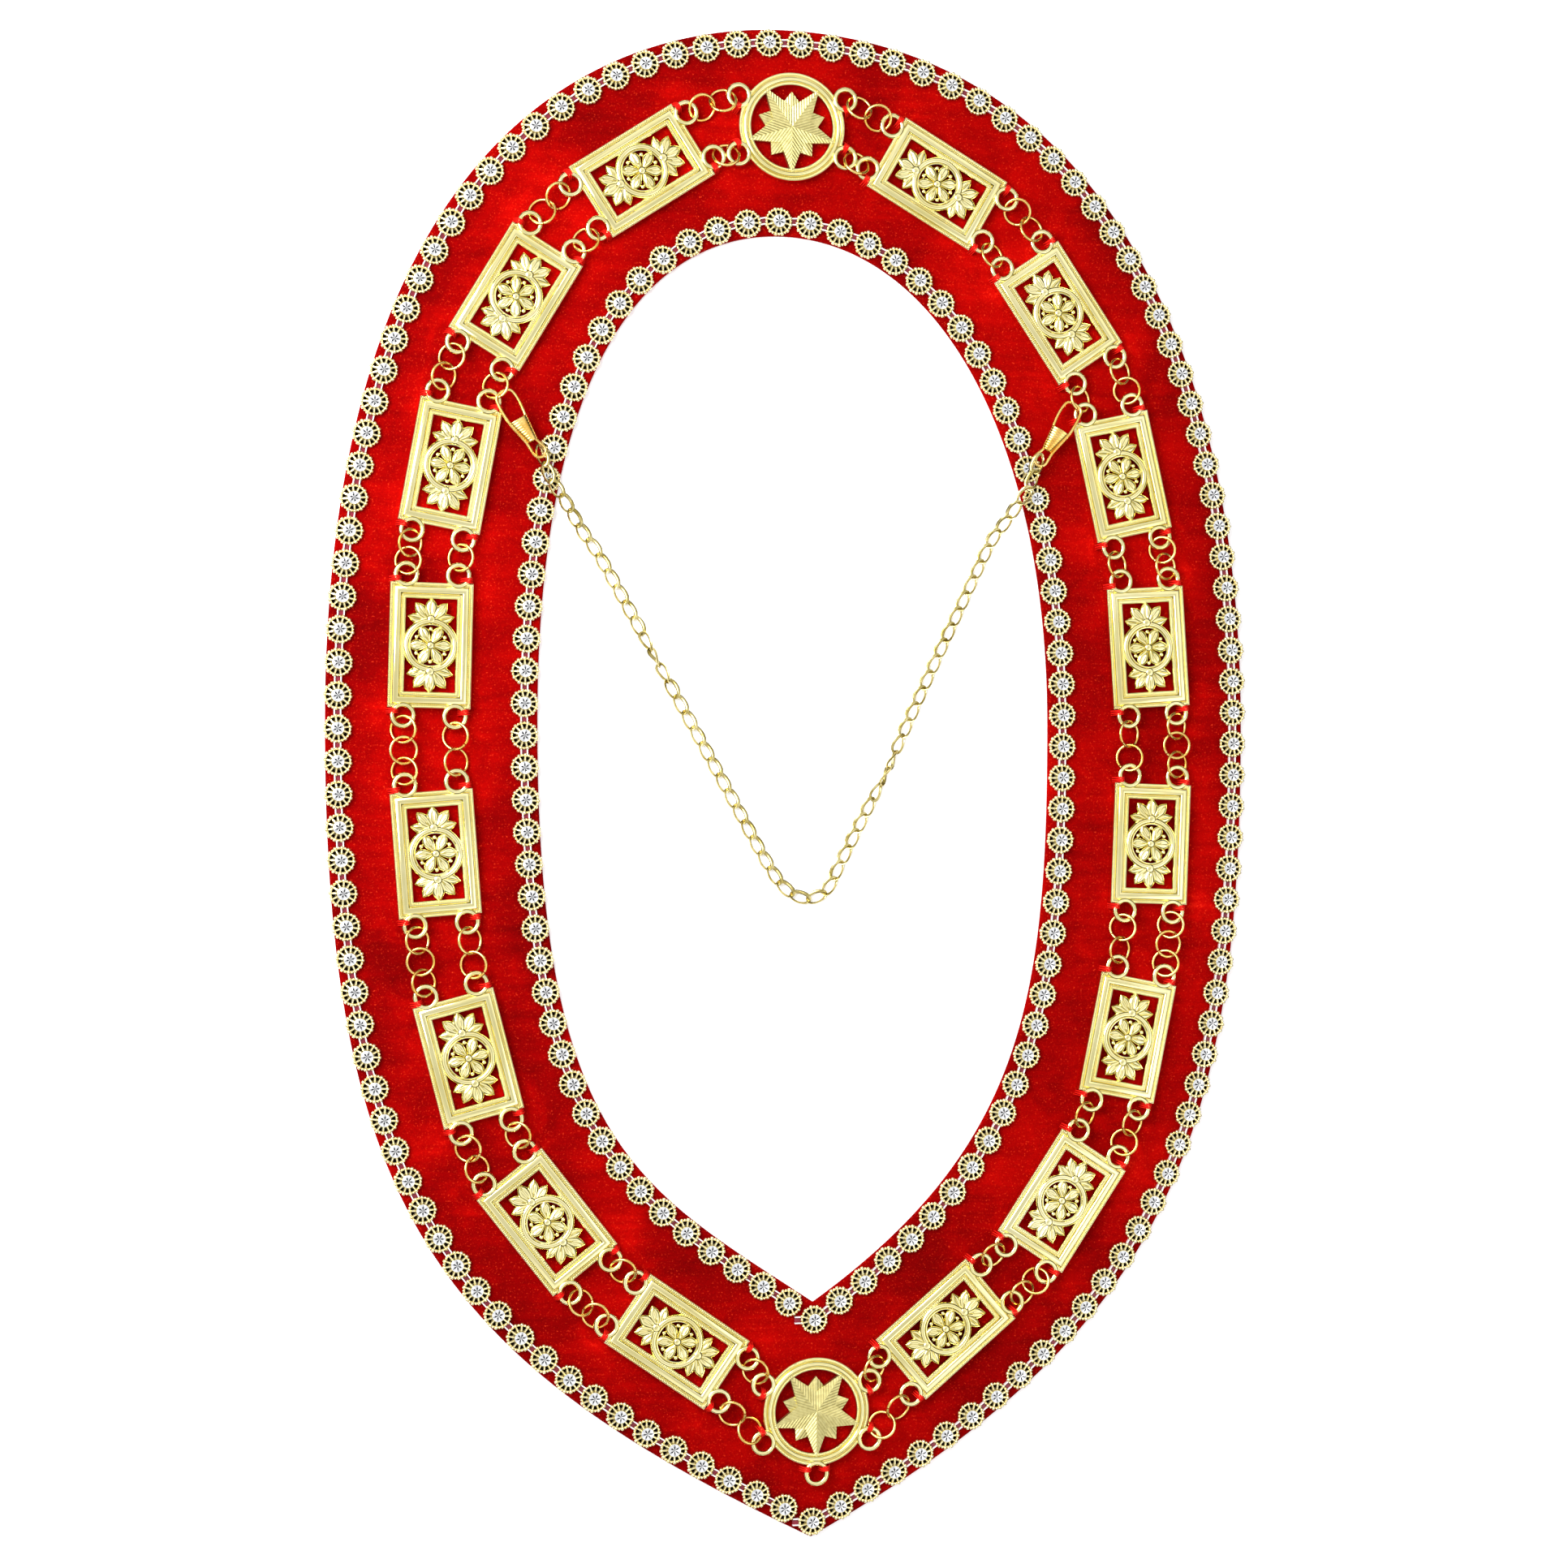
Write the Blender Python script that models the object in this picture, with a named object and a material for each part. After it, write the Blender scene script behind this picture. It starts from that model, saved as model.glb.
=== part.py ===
"""A regalia chain collar, lying flat as it is stored.

A red velvet band carries sixteen pierced gilt plaques and two round gilt medallions. Jump rings
join them in two rows. A band of rhinestone flowers follows each edge of the velvet, and a curb
chain with a spring clasp at each end closes the collar behind the neck.
Metres, +Z up, the nape at +Y, the origin under the middle of the collar.
"""

import math
from collections import namedtuple

import bmesh
import bpy
from mathutils import Matrix, Vector

MM = 0.001
SEAT_GAP = 0.3 * MM

# Velvet backing
COLLAR_WIDTH = 347.6 * MM
COLLAR_LENGTH = 558.8 * MM
BAND_AT_SIDE = 77.0 * MM
BAND_AT_NAPE = 76.6 * MM
BAND_AT_POINT = 87.2 * MM
VELVET_THICKNESS = 2.5 * MM
VELVET_CHAMFER = 0.8 * MM
SWEEP_STEPS = 12

# Cast plaques, whose length is a share of the collar's so that their spacing follows it
PLAQUE_WIDTH = 30.2 * MM
PLAQUE_SHARE = 0.0813
RAIL_WIDTH = 5.9 * MM
CASTING_HEIGHT = 4.3 * MM
LUG_SPACING = 18.8 * MM
LUG_DIAMETER = 9.4 * MM
LUG_WIRE = 1.5 * MM
LUG_OVERHANG = 2.8 * MM
LUG_HEIGHT = 3.2 * MM
LUG_ROOT = 72.0
MOTIF_RING_DIAMETER = 20.4 * MM
MOTIF_RING_WIDTH = 3.0 * MM
MOTIF_HEIGHT = 3.9 * MM
MOTIF_BASE = 1.4 * MM
PETALS = 6
PALMETTE_LENGTH = 8.6 * MM

# Round medallions
MEDALLION_DIAMETER = 40.0 * MM
MEDALLION_RIM = 4.5 * MM
STAR_BITE = 1.9 * MM
STAR_SHORT_REACH = 13.0 * MM
STAR_VALLEY = 9.9 * MM
STAR_POINTS = 5
MEDALLION_LUG_ANGLE = 28.0

# Jump rings and the rows of them
RING_DIAMETER = 11.2 * MM
RING_WIRE = 1.1 * MM
RING_GRIP = 1.75 * MM
ROW_DIAMETER = 3.0 * MM
RING_SIDES = 10
WIRE_SIDES = 5

# Rhinestone bands
FLOWER_DIAMETER = 10.4 * MM
FLOWER_HEIGHT = 2.7 * MM
FLOWER_SHOULDER = 1.5 * MM
OUTER_INSET_SIDE = 4.3 * MM
OUTER_INSET_END = 5.5 * MM
INNER_INSET = 5.2 * MM

# Spring clasps and the curb chain between them
CLASP_LENGTH = 27.6 * MM
CLASP_WIDTH = 8.2 * MM
CLASP_WIRE = 1.2 * MM
CLASP_HEADING = 29.0
CLASP_ROLL = 24.0
CLASP_GRIP = 48.0
CLASP_SLACK = 1.3 * MM
SLEEVE_START = 6.4 * MM
SLEEVE_LENGTH = 10.2 * MM
SLEEVE_WIDE = 6.0 * MM
SLEEVE_NARROW = 3.2 * MM
TAIL_WIDTH = 4.2 * MM
CHAIN_DIAMETER = 4.2 * MM

Sweep = namedtuple("Sweep", "side top_reach side_rise side_fall tip_reach")
Edge = namedtuple("Edge", "top_shift tip_shift widest_rise tip_angle left right")
Place = namedtuple("Place", "node across along turn")
RailPoint = namedtuple("RailPoint", "inward height")
Leaf = namedtuple("Leaf", "lean spread length")

# Each velvet edge: sideways shifts as shares of its half width, the widest point's rise as a share
# of its half length, and the handles of its four sweeps as shares of their own run
OUTER_EDGE = Edge(-0.030, 0.030, 0.080, 63.0,
                  Sweep(-1, 0.34, 0.86, 0.58, 0.52), Sweep(1, 0.62, 0.62, 0.52, 0.52))
INNER_EDGE = Edge(-0.065, 0.062, 0.110, 56.0,
                  Sweep(-1, 0.40, 0.84, 0.72, 0.37), Sweep(1, 0.58, 0.60, 0.48, 0.46))

# Castings in order from the nape: places as shares of the collar's half width and half length,
# turns in degrees
BACK_MEDALLION = Place("medallion_back", -0.016, 0.869, 0.0)
FRONT_MEDALLION = Place("medallion_front", 0.037, -0.831, 0.0)
LEFT_PLAQUES = (
    Place("plaque_left_1", -0.339, 0.803, -57.0),
    Place("plaque_left_2", -0.606, 0.633, -31.0),
    Place("plaque_left_3", -0.743, 0.412, -10.5),
    Place("plaque_left_4", -0.784, 0.179, -1.5),
    Place("plaque_left_5", -0.773, -0.090, 4.3),
    Place("plaque_left_6", -0.705, -0.355, 14.5),
    Place("plaque_left_7", -0.540, -0.570, 38.0),
    Place("plaque_left_8", -0.264, -0.732, 55.0),
)
RIGHT_PLAQUES = (
    Place("plaque_right_1", 0.303, 0.801, 60.0),
    Place("plaque_right_2", 0.574, 0.634, 34.0),
    Place("plaque_right_3", 0.719, 0.416, 12.5),
    Place("plaque_right_4", 0.778, 0.185, 3.6),
    Place("plaque_right_5", 0.784, -0.081, -2.2),
    Place("plaque_right_6", 0.731, -0.343, -11.5),
    Place("plaque_right_7", 0.582, -0.561, -33.7),
    Place("plaque_right_8", 0.322, -0.728, -50.0),
)
# The spaces between castings on each side, from the nape, where the inner row has two rings
PAIRED_INNER = (4, 5)

# The frame's profile: shares of the rail's width and of the casting's height
RAIL_PROFILE = (
    RailPoint(0.00, 0.00), RailPoint(0.00, 0.95), RailPoint(0.22, 0.95),
    RailPoint(0.58, 1.00), RailPoint(1.00, 0.86), RailPoint(1.00, 0.00),
)
RIM_PROFILE = (
    RailPoint(0.00, 0.00), RailPoint(0.00, 0.95), RailPoint(0.50, 1.00),
    RailPoint(1.00, 0.90), RailPoint(1.00, 0.00),
)
# A palmette's leaves: lean and half spread in degrees, length as a share of the middle leaf's
PALMETTE_LEAVES = (Leaf(-58.0, 10.0, 0.92), Leaf(0.0, 16.0, 1.0), Leaf(58.0, 10.0, 0.92))

# The curb chain's route between the clasps, where it rises over the velvet's inner edge
CHAIN_ROUTE = (
    (-0.0930, 0.1105, 0.0083), (-0.0885, 0.1040, 0.0072), (-0.0842, 0.0975, 0.0046),
    (-0.0800, 0.0912, 0.0026), (-0.0724, 0.0800, 0.0022), (-0.0470, 0.0345, 0.0022),
    (-0.0247, -0.0057, 0.0022), (-0.0118, -0.0290, 0.0022), (-0.0042, -0.0392, 0.0022),
    (0.0045, -0.0428, 0.0022), (0.0118, -0.0390, 0.0022), (0.0171, -0.0290, 0.0022),
    (0.0354, 0.0073, 0.0022), (0.0526, 0.0443, 0.0022), (0.0700, 0.0810, 0.0022),
    (0.0755, 0.0920, 0.0026), (0.0800, 0.0985, 0.0046), (0.0840, 0.1050, 0.0072),
    (0.0880, 0.1112, 0.0083),
)

HALF_WIDTH = COLLAR_WIDTH / 2
HALF_LENGTH = COLLAR_LENGTH / 2
PLAQUE_LENGTH = PLAQUE_SHARE * COLLAR_LENGTH
STAR_REACH = MEDALLION_DIAMETER / 2 - MEDALLION_RIM + STAR_BITE
VELVET_TOP = VELVET_THICKNESS
CASTING_BASE = VELVET_TOP + SEAT_GAP
LUG_PLANE = CASTING_BASE + LUG_HEIGHT
LUG_RADIUS = (LUG_DIAMETER - LUG_WIRE) / 2
RING_DROP = LUG_PLANE - VELVET_TOP - SEAT_GAP - RING_WIRE / 2
BAND_BASE = VELVET_TOP + SEAT_GAP


def clear_scene():
    for thing in list(bpy.data.objects):
        bpy.data.objects.remove(thing)


def make_material(name, colour, roughness, metallic):
    material = bpy.data.materials.new(name)
    material.use_nodes = True
    shader = material.node_tree.nodes["Principled BSDF"]
    shader.inputs["Base Color"].default_value = (*colour, 1.0)
    shader.inputs["Roughness"].default_value = roughness
    shader.inputs["Metallic"].default_value = metallic
    return material


def add_object(name, data, material):
    piece = bpy.data.objects.new(name, data)
    bpy.context.scene.collection.objects.link(piece)
    if not data.materials:
        data.materials.append(material)
    return piece


def mesh_from(maker, name):
    bmesh.ops.recalc_face_normals(maker, faces=maker.faces)
    mesh = bpy.data.meshes.new(name)
    maker.to_mesh(mesh)
    maker.free()
    return mesh


def loft(maker, sections, closed):
    """Skin a row of equal cross-sections; a closed row meets itself, an open one is capped."""
    rings = [[maker.verts.new(point) for point in section] for section in sections]
    pairs = list(zip(rings, rings[1:]))
    if closed:
        pairs.append((rings[-1], rings[0]))
    else:
        maker.faces.new(rings[0])
        maker.faces.new(rings[-1])
    for here, there in pairs:
        for k, corner in enumerate(here):
            after = (k + 1) % len(here)
            maker.faces.new((corner, here[after], there[after], there[k]))


def raised_form(maker, outline, crown, base):
    """A carved form: a flat underside, upright edges and facets that rise to one crown point."""
    upper = [maker.verts.new(point) for point in outline]
    lower = [maker.verts.new((point.x, point.y, base)) for point in outline]
    peak = maker.verts.new(crown)
    maker.faces.new(lower)
    for k, corner in enumerate(upper):
        after = (k + 1) % len(upper)
        maker.faces.new((corner, upper[after], peak))
        maker.faces.new((corner, upper[after], lower[after], lower[k]))


def polar(radius, angle, height=0.0):
    return Vector((radius * math.cos(angle), radius * math.sin(angle), height))


# Outline of the velvet

def bezier(start, handle_a, handle_b, end, share):
    rest = 1 - share
    return (start * rest ** 3 + handle_a * (3 * rest ** 2 * share)
            + handle_b * (3 * rest * share ** 2) + end * share ** 3)


def half_edge(edge, sweep, half_width, top, tip):
    """Points down one side of an edge, from its top to just before its tip."""
    start = Vector((edge.top_shift * half_width, top))
    widest = Vector((sweep.side * half_width, edge.widest_rise * top))
    end = Vector((edge.tip_shift * half_width, -tip))
    rise, fall = top - widest.y, widest.y + tip
    lean = math.radians(edge.tip_angle)
    upper = (start, start + Vector((sweep.top_reach * (widest.x - start.x), 0)),
             widest + Vector((0, sweep.side_rise * rise)), widest)
    lower = (widest, widest - Vector((0, sweep.side_fall * fall)),
             end + sweep.tip_reach * fall * Vector((sweep.side * math.sin(lean), math.cos(lean))),
             end)
    return [bezier(*quarter, step / SWEEP_STEPS)
            for quarter in (upper, lower) for step in range(SWEEP_STEPS)] + [end]


def edge_loop(edge, half_width, top, tip):
    """The whole edge, clockwise from its top."""
    right = half_edge(edge, edge.right, half_width, top, tip)
    left = half_edge(edge, edge.left, half_width, top, tip)
    return right + left[-2:0:-1]


def outer_edge():
    return edge_loop(OUTER_EDGE, HALF_WIDTH, HALF_LENGTH, HALF_LENGTH)


def inner_edge():
    return edge_loop(INNER_EDGE, HALF_WIDTH - BAND_AT_SIDE,
                     HALF_LENGTH - BAND_AT_NAPE, HALF_LENGTH - BAND_AT_POINT)


def inward_directions(loop):
    """At each point of a clockwise loop, the mitred direction to its right, one unit deep."""
    directions = []
    for k, point in enumerate(loop):
        before = (point - loop[k - 1]).normalized()
        after = (loop[(k + 1) % len(loop)] - point).normalized()
        normal_before = Vector((before.y, -before.x))
        normal_after = Vector((after.y, -after.x))
        mitre = (normal_before + normal_after).normalized()
        directions.append(mitre / mitre.dot(normal_before))
    return directions


def velvet_backing(material):
    outer, inner = outer_edge(), inner_edge()
    outer_in, inner_in = inward_directions(outer), inward_directions(inner)
    shoulder = VELVET_THICKNESS - VELVET_CHAMFER
    sections = []
    for k, (rim, hole) in enumerate(zip(outer, inner)):
        rim_top = rim + outer_in[k] * VELVET_CHAMFER
        hole_top = hole - inner_in[k] * VELVET_CHAMFER
        sections.append((
            (*rim, 0), (*rim, shoulder), (*rim_top, VELVET_TOP),
            (*hole_top, VELVET_TOP), (*hole, shoulder), (*hole, 0)))
    maker = bmesh.new()
    loft(maker, sections, closed=True)
    add_object("velvet_backing", mesh_from(maker, "velvet_backing"), material)


# Rhinestone bands

def outer_inset(direction):
    sideways = abs(direction.normalized().x) ** 3
    return OUTER_INSET_END + (OUTER_INSET_SIDE - OUTER_INSET_END) * sideways


def rhinestone_band(name, loop, insets, material):
    """A low band of flower settings, as wide as a flower and as high as its stone."""
    directions = inward_directions(loop)
    half = FLOWER_DIAMETER / 2
    profile = ((-half, 0), (-half, FLOWER_SHOULDER), (0, FLOWER_HEIGHT),
               (half, FLOWER_SHOULDER), (half, 0))
    sections = []
    for point, direction, inset in zip(loop, directions, insets):
        sections.append([(*(point + direction * (inset + across)), BAND_BASE + height)
                         for across, height in profile])
    maker = bmesh.new()
    loft(maker, sections, closed=True)
    add_object(name, mesh_from(maker, name), material)


def rhinestone_bands(material):
    outer, inner = outer_edge(), inner_edge()
    rhinestone_band("rhinestone_band_outer", outer,
                    [outer_inset(way) for way in inward_directions(outer)], material)
    rhinestone_band("rhinestone_band_inner", inner, [-INNER_INSET] * len(inner), material)


# Castings, made about their own centre with the underside at zero

def rail_frame(maker):
    """The plaque's rectangular frame: a milled rim outside and inside, a swelling between."""
    corners = ((1, 1), (-1, 1), (-1, -1), (1, -1))
    loft(maker, [[
        (side_x * (PLAQUE_WIDTH / 2 - spot.inward * RAIL_WIDTH),
         side_y * (PLAQUE_LENGTH / 2 - spot.inward * RAIL_WIDTH),
         spot.height * CASTING_HEIGHT) for spot in RAIL_PROFILE]
        for side_x, side_y in corners], closed=True)


def lug(maker, centre, facing):
    """A cast loop whose two roots run into the edge that it stands on."""
    root = math.radians(LUG_ROOT)
    start, sweep, steps = facing - math.pi / 2 - root, math.pi + 2 * root, 6
    half = LUG_WIRE / 2
    profile = ((0, -half), (half, 0), (0, half), (-half, 0))
    sections = []
    for step in range(steps + 1):
        angle = start + sweep * step / steps
        sections.append([centre + polar(LUG_RADIUS + across, angle, LUG_HEIGHT + up)
                         for across, up in profile])
    loft(maker, sections, closed=False)


def motif_ring(maker):
    outer = MOTIF_RING_DIAMETER / 2
    segments = 12
    spots = ((outer, MOTIF_BASE), (outer - MOTIF_RING_WIDTH / 2, MOTIF_HEIGHT),
             (outer - MOTIF_RING_WIDTH, MOTIF_BASE))
    loft(maker, [[polar(radius, (step + 0.5) * math.tau / segments, height)
                  for radius, height in spots] for step in range(segments)], closed=True)


def rosette(maker):
    """Eight round-ended petals that spring from one crown and run into the ring round them."""
    reach = MOTIF_RING_DIAMETER / 2 - MOTIF_RING_WIDTH * 0.72
    notch = reach * 0.46
    shoulder = math.tau / PETALS * 0.21
    outline = []
    for petal in range(PETALS):
        middle = petal * math.tau / PETALS
        outline.append(polar(reach, middle - shoulder, MOTIF_HEIGHT * 0.55))
        outline.append(polar(reach, middle + shoulder, MOTIF_HEIGHT * 0.55))
        outline.append(polar(notch, middle + math.pi / PETALS, MOTIF_HEIGHT * 0.62))
    raised_form(maker, outline, Vector((0, 0, MOTIF_HEIGHT)), MOTIF_BASE)


def palmette(maker, end):
    """Three leaves that fan from the ring to the frame's end rail."""
    foot = MOTIF_RING_DIAMETER / 2 - MOTIF_RING_WIDTH * 0.5
    outline = [Vector((-0.15 * PALMETTE_LENGTH, end * foot, MOTIF_HEIGHT * 0.5))]
    for k, leaf in enumerate(PALMETTE_LEAVES):
        if k:
            lean = math.radians((leaf.lean + PALMETTE_LEAVES[k - 1].lean) / 2)
            outline.append(palmette_point(end, foot, lean, 0.6))
        for side in (-1, 1):
            lean = math.radians(leaf.lean + side * leaf.spread)
            outline.append(palmette_point(end, foot, lean, leaf.length))
    outline.append(Vector((0.15 * PALMETTE_LENGTH, end * foot, MOTIF_HEIGHT * 0.5)))
    crown = Vector((0, end * (foot + PALMETTE_LENGTH * 0.3), MOTIF_HEIGHT))
    raised_form(maker, outline, crown, MOTIF_BASE)


def palmette_point(end, foot, lean, share):
    reach = PALMETTE_LENGTH * share
    return Vector((reach * math.sin(lean), end * (foot + reach * math.cos(lean)),
                   MOTIF_HEIGHT * 0.55))


def plaque_lugs(maker):
    for end in (1, -1):
        for side in (-1, 1):
            lug(maker, lug_spot(end, side), end * math.pi / 2)


def lug_spot(end, side):
    return Vector((side * LUG_SPACING / 2, end * (PLAQUE_LENGTH / 2 + LUG_OVERHANG), 0))


def medallion_rim(maker):
    segments = 16
    outer = MEDALLION_DIAMETER / 2
    loft(maker, [[polar(outer - spot.inward * MEDALLION_RIM, step * math.tau / segments,
                        spot.height * CASTING_HEIGHT) for spot in RIM_PROFILE]
                 for step in range(segments)], closed=True)


def medallion_star(maker):
    """Five long ridged points that reach the rim, with five short ones between."""
    outline = []
    for k in range(2 * STAR_POINTS):
        angle = -math.pi / 2 + k * math.pi / STAR_POINTS
        reach = STAR_SHORT_REACH if k % 2 else STAR_REACH
        outline.append(polar(reach, angle, CASTING_HEIGHT * 0.62))
        outline.append(polar(STAR_VALLEY, angle + math.pi / (2 * STAR_POINTS),
                             CASTING_HEIGHT * 0.5))
    raised_form(maker, outline, Vector((0, 0, CASTING_HEIGHT * 0.9)), MOTIF_BASE)


def medallion_lug_spot(angle):
    return polar(MEDALLION_DIAMETER / 2 + LUG_OVERHANG, angle)


def medallion_lug_angles(with_jewel_ring):
    spread = math.radians(MEDALLION_LUG_ANGLE)
    angles = [spread, math.pi - spread, math.pi + spread, -spread]
    return angles + [-math.pi / 2] if with_jewel_ring else angles


def fused(name, makers):
    """One closed body from several that overlap, by exact unions."""
    first, *others = [mesh_from(maker, name) for maker in makers]
    blank = bpy.data.materials.get("gilt_casting")
    base = add_object(name + "_blank", first, blank)
    cutters = []
    for mesh in others:
        cutter = add_object(name + "_member", mesh, blank)
        cutter.hide_render = True
        cutter.display_type = "WIRE"
        union = base.modifiers.new("union", "BOOLEAN")
        union.operation = "UNION"
        union.solver = "EXACT"
        union.object = cutter
        cutters.append(cutter)
    graph = bpy.context.evaluated_depsgraph_get()
    graph.update()
    result = bpy.data.meshes.new_from_object(base.evaluated_get(graph))
    result.name = name
    for thing in [base] + cutters:
        bpy.data.objects.remove(thing)
    return result


def built(shape, *arguments):
    maker = bmesh.new()
    shape(maker, *arguments)
    return maker


def both_palmettes(maker):
    for end in (1, -1):
        palmette(maker, end)


def medallion_lugs(maker, with_jewel_ring):
    for angle in medallion_lug_angles(with_jewel_ring):
        lug(maker, medallion_lug_spot(angle), angle)


def place_matrix(place):
    seat = Vector((place.across * HALF_WIDTH, place.along * HALF_LENGTH, CASTING_BASE))
    return Matrix.Translation(seat) @ Matrix.Rotation(math.radians(place.turn), 4, "Z")


def castings(material):
    plaque = fused("plaque", [built(rail_frame), built(motif_ring), built(rosette),
                              built(both_palmettes), built(plaque_lugs)])
    for place in LEFT_PLAQUES + RIGHT_PLAQUES:
        add_object(place.node, plaque, material).matrix_world = place_matrix(place)
    for place, jewel_ring in ((BACK_MEDALLION, False), (FRONT_MEDALLION, True)):
        medallion = fused(place.node, [built(medallion_rim), built(medallion_star),
                                       built(medallion_lugs, jewel_ring)])
        add_object(place.node, medallion, material).matrix_world = place_matrix(place)


# Jump rings, in an outer and an inner row down each side

def plaque_lug(place, end, side):
    spot = place_matrix(place) @ lug_spot(end, side)
    return Vector((spot.x, spot.y, LUG_PLANE))


def medallion_lug(place, side, above):
    spread = math.radians(MEDALLION_LUG_ANGLE) * above
    angle = spread if side > 0 else math.pi - spread
    spot = place_matrix(place) @ medallion_lug_spot(angle)
    return Vector((spot.x, spot.y, LUG_PLANE))


def row_gaps(plaques, side, outward):
    """Pairs of lugs that one row of rings joins, from the nape to the front.

    side is -1 for the left half of the collar and 1 for the right, outward is 1 for the outer row
    and -1 for the inner one.
    """
    gaps = [(medallion_lug(BACK_MEDALLION, side, outward),
             plaque_lug(plaques[0], 1, side * outward))]
    for here, there in zip(plaques, plaques[1:]):
        gaps.append((plaque_lug(here, -1, side * outward), plaque_lug(there, 1, side * outward)))
    gaps.append((plaque_lug(plaques[-1], -1, side * outward),
                 medallion_lug(FRONT_MEDALLION, side, -outward)))
    return gaps


def ring_radius(start, end):
    """A ring's own size, unless its lugs stand so far apart or so close that it must differ."""
    reach = (end - start).length / 2
    own = (RING_DIAMETER - RING_WIRE) / 2
    largest = reach + LUG_OVERHANG - RING_WIRE / 2 - 2 * SEAT_GAP
    return min(max(own, reach - RING_GRIP), largest)


def ring_axes(start, end, side):
    """Along the row, and across the ring, which lies on the velvet and rolls up to the neck."""
    along = (end - start).normalized()
    level = Vector((along.y, -along.x, 0))
    if level.x * side > 0:
        level = -level
    roll = math.asin(min(0.9, RING_DROP / ring_radius(start, end)))
    return along, level * math.cos(roll) + Vector((0, 0, math.sin(roll)))


def jump_ring(name, start, end, side, material):
    """One ring through two lugs, over one side of each and under the other."""
    centre = (start + end) / 2
    along, across = ring_axes(start, end, side)
    up = along.cross(across)
    radius = ring_radius(start, end)
    sections = []
    for step in range(RING_SIDES):
        turn = (step + 0.5) * math.tau / RING_SIDES
        outward = along * math.cos(turn) + across * math.sin(turn)
        sections.append([centre + outward * (radius + RING_WIRE / 2 * math.cos(face))
                         + up * (RING_WIRE / 2 * math.sin(face))
                         for face in (k * math.tau / WIRE_SIDES for k in range(WIRE_SIDES))])
    maker = bmesh.new()
    loft(maker, sections, closed=True)
    add_object(name, mesh_from(maker, name), material)


def tube(name, points, diameter, material):
    curve = bpy.data.curves.new(name, "CURVE")
    curve.dimensions = "3D"
    curve.bevel_depth = diameter / 2
    curve.bevel_resolution = 2
    curve.use_fill_caps = True
    spline = curve.splines.new("POLY")
    spline.points.add(len(points) - 1)
    for spot, point in zip(spline.points, points):
        spot.co = (*point, 1.0)
    add_object(name, curve, material)


def ring_row(name, start, end, material):
    """A row of two or three rings, as a plain tube between the tips of the lugs it joins."""
    along = (end - start).normalized()
    step_back = along * (LUG_DIAMETER / 2 + SEAT_GAP)
    first, last = start + step_back, end - step_back
    tube(name, [first, (first + last) / 2, last], ROW_DIAMETER, material)


def ring_rows(material):
    for plaques, side, half in ((LEFT_PLAQUES, -1, "left"), (RIGHT_PLAQUES, 1, "right")):
        for number, (start, end) in enumerate(row_gaps(plaques, side, 1)):
            ring_row(f"ring_row_{half}_outer_{number + 1}", start, end, material)
        for number, (start, end) in enumerate(row_gaps(plaques, side, -1)):
            if number in PAIRED_INNER:
                ring_row(f"ring_row_{half}_inner_{number + 1}", start, end, material)
            else:
                jump_ring(f"jump_ring_{half}_{number + 1}", start, end, side, material)


# Clasps and the curb chain

def clasp_frame(plaques, side):
    """The middle of a clasp's nose, which holds its jump ring, and the clasp's own axes."""
    start, end = row_gaps(plaques, side, -1)[2]
    along, across = ring_axes(start, end, side)
    grip = math.radians(CLASP_GRIP)
    reach = ring_radius(start, end)
    held = (start + end) / 2 + (along * math.cos(grip) + across * math.sin(grip)) * reach
    heading = math.radians(CLASP_HEADING)
    down = Vector((-side * math.sin(heading), -math.cos(heading), 0))
    level = Vector((-side * math.cos(heading), math.sin(heading), 0))
    roll = math.radians(CLASP_ROLL)
    gate_way = level * math.cos(roll) - Vector((0, 0, math.sin(roll)))
    return held + down * CLASP_SLACK, down, gate_way


def clasp_wire(nose, down, gate_way):
    """The bent wire: up the gate, round the nose, through the sleeve and round the tail."""
    bow = (CLASP_WIDTH - CLASP_WIRE) / 2
    eye = (TAIL_WIDTH - CLASP_WIRE) / 2
    wide, narrow = SLEEVE_START, SLEEVE_START + SLEEVE_LENGTH
    spots = [(wide + bow * 0.6, eye * 0.75), (wide * 0.5, bow * 0.85)]
    for step in range(6):
        turn = math.pi * step / 5
        spots.append((-bow * math.sin(turn), bow * math.cos(turn)))
    spots.append((wide * 0.6, -bow * 0.85))
    spots.append((wide + bow * 0.6, -eye * 0.75))
    spots.append((narrow, -eye * 0.7))
    tail = CLASP_LENGTH - CLASP_WIDTH / 2 - TAIL_WIDTH / 2
    for step in range(5):
        turn = math.pi * step / 4
        spots.append((tail + eye * math.sin(turn), -eye * math.cos(turn)))
    spots.append((narrow - eye, eye * 0.7))
    return [nose + down * along + gate_way * across for along, across in spots]


def wire_body(maker, path, radius):
    """A bent wire of a few sides, capped at both ends."""
    sections = []
    for k, point in enumerate(path):
        ahead = path[min(k + 1, len(path) - 1)] - path[max(k - 1, 0)]
        ahead.normalize()
        aside = ahead.cross(Vector((0, 0, 1))).normalized()
        above = aside.cross(ahead)
        sections.append([point + aside * (radius * math.cos(face)) + above * (radius * math.sin(face))
                         for face in (j * math.tau / WIRE_SIDES for j in range(WIRE_SIDES))])
    loft(maker, sections, closed=False)


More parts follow.
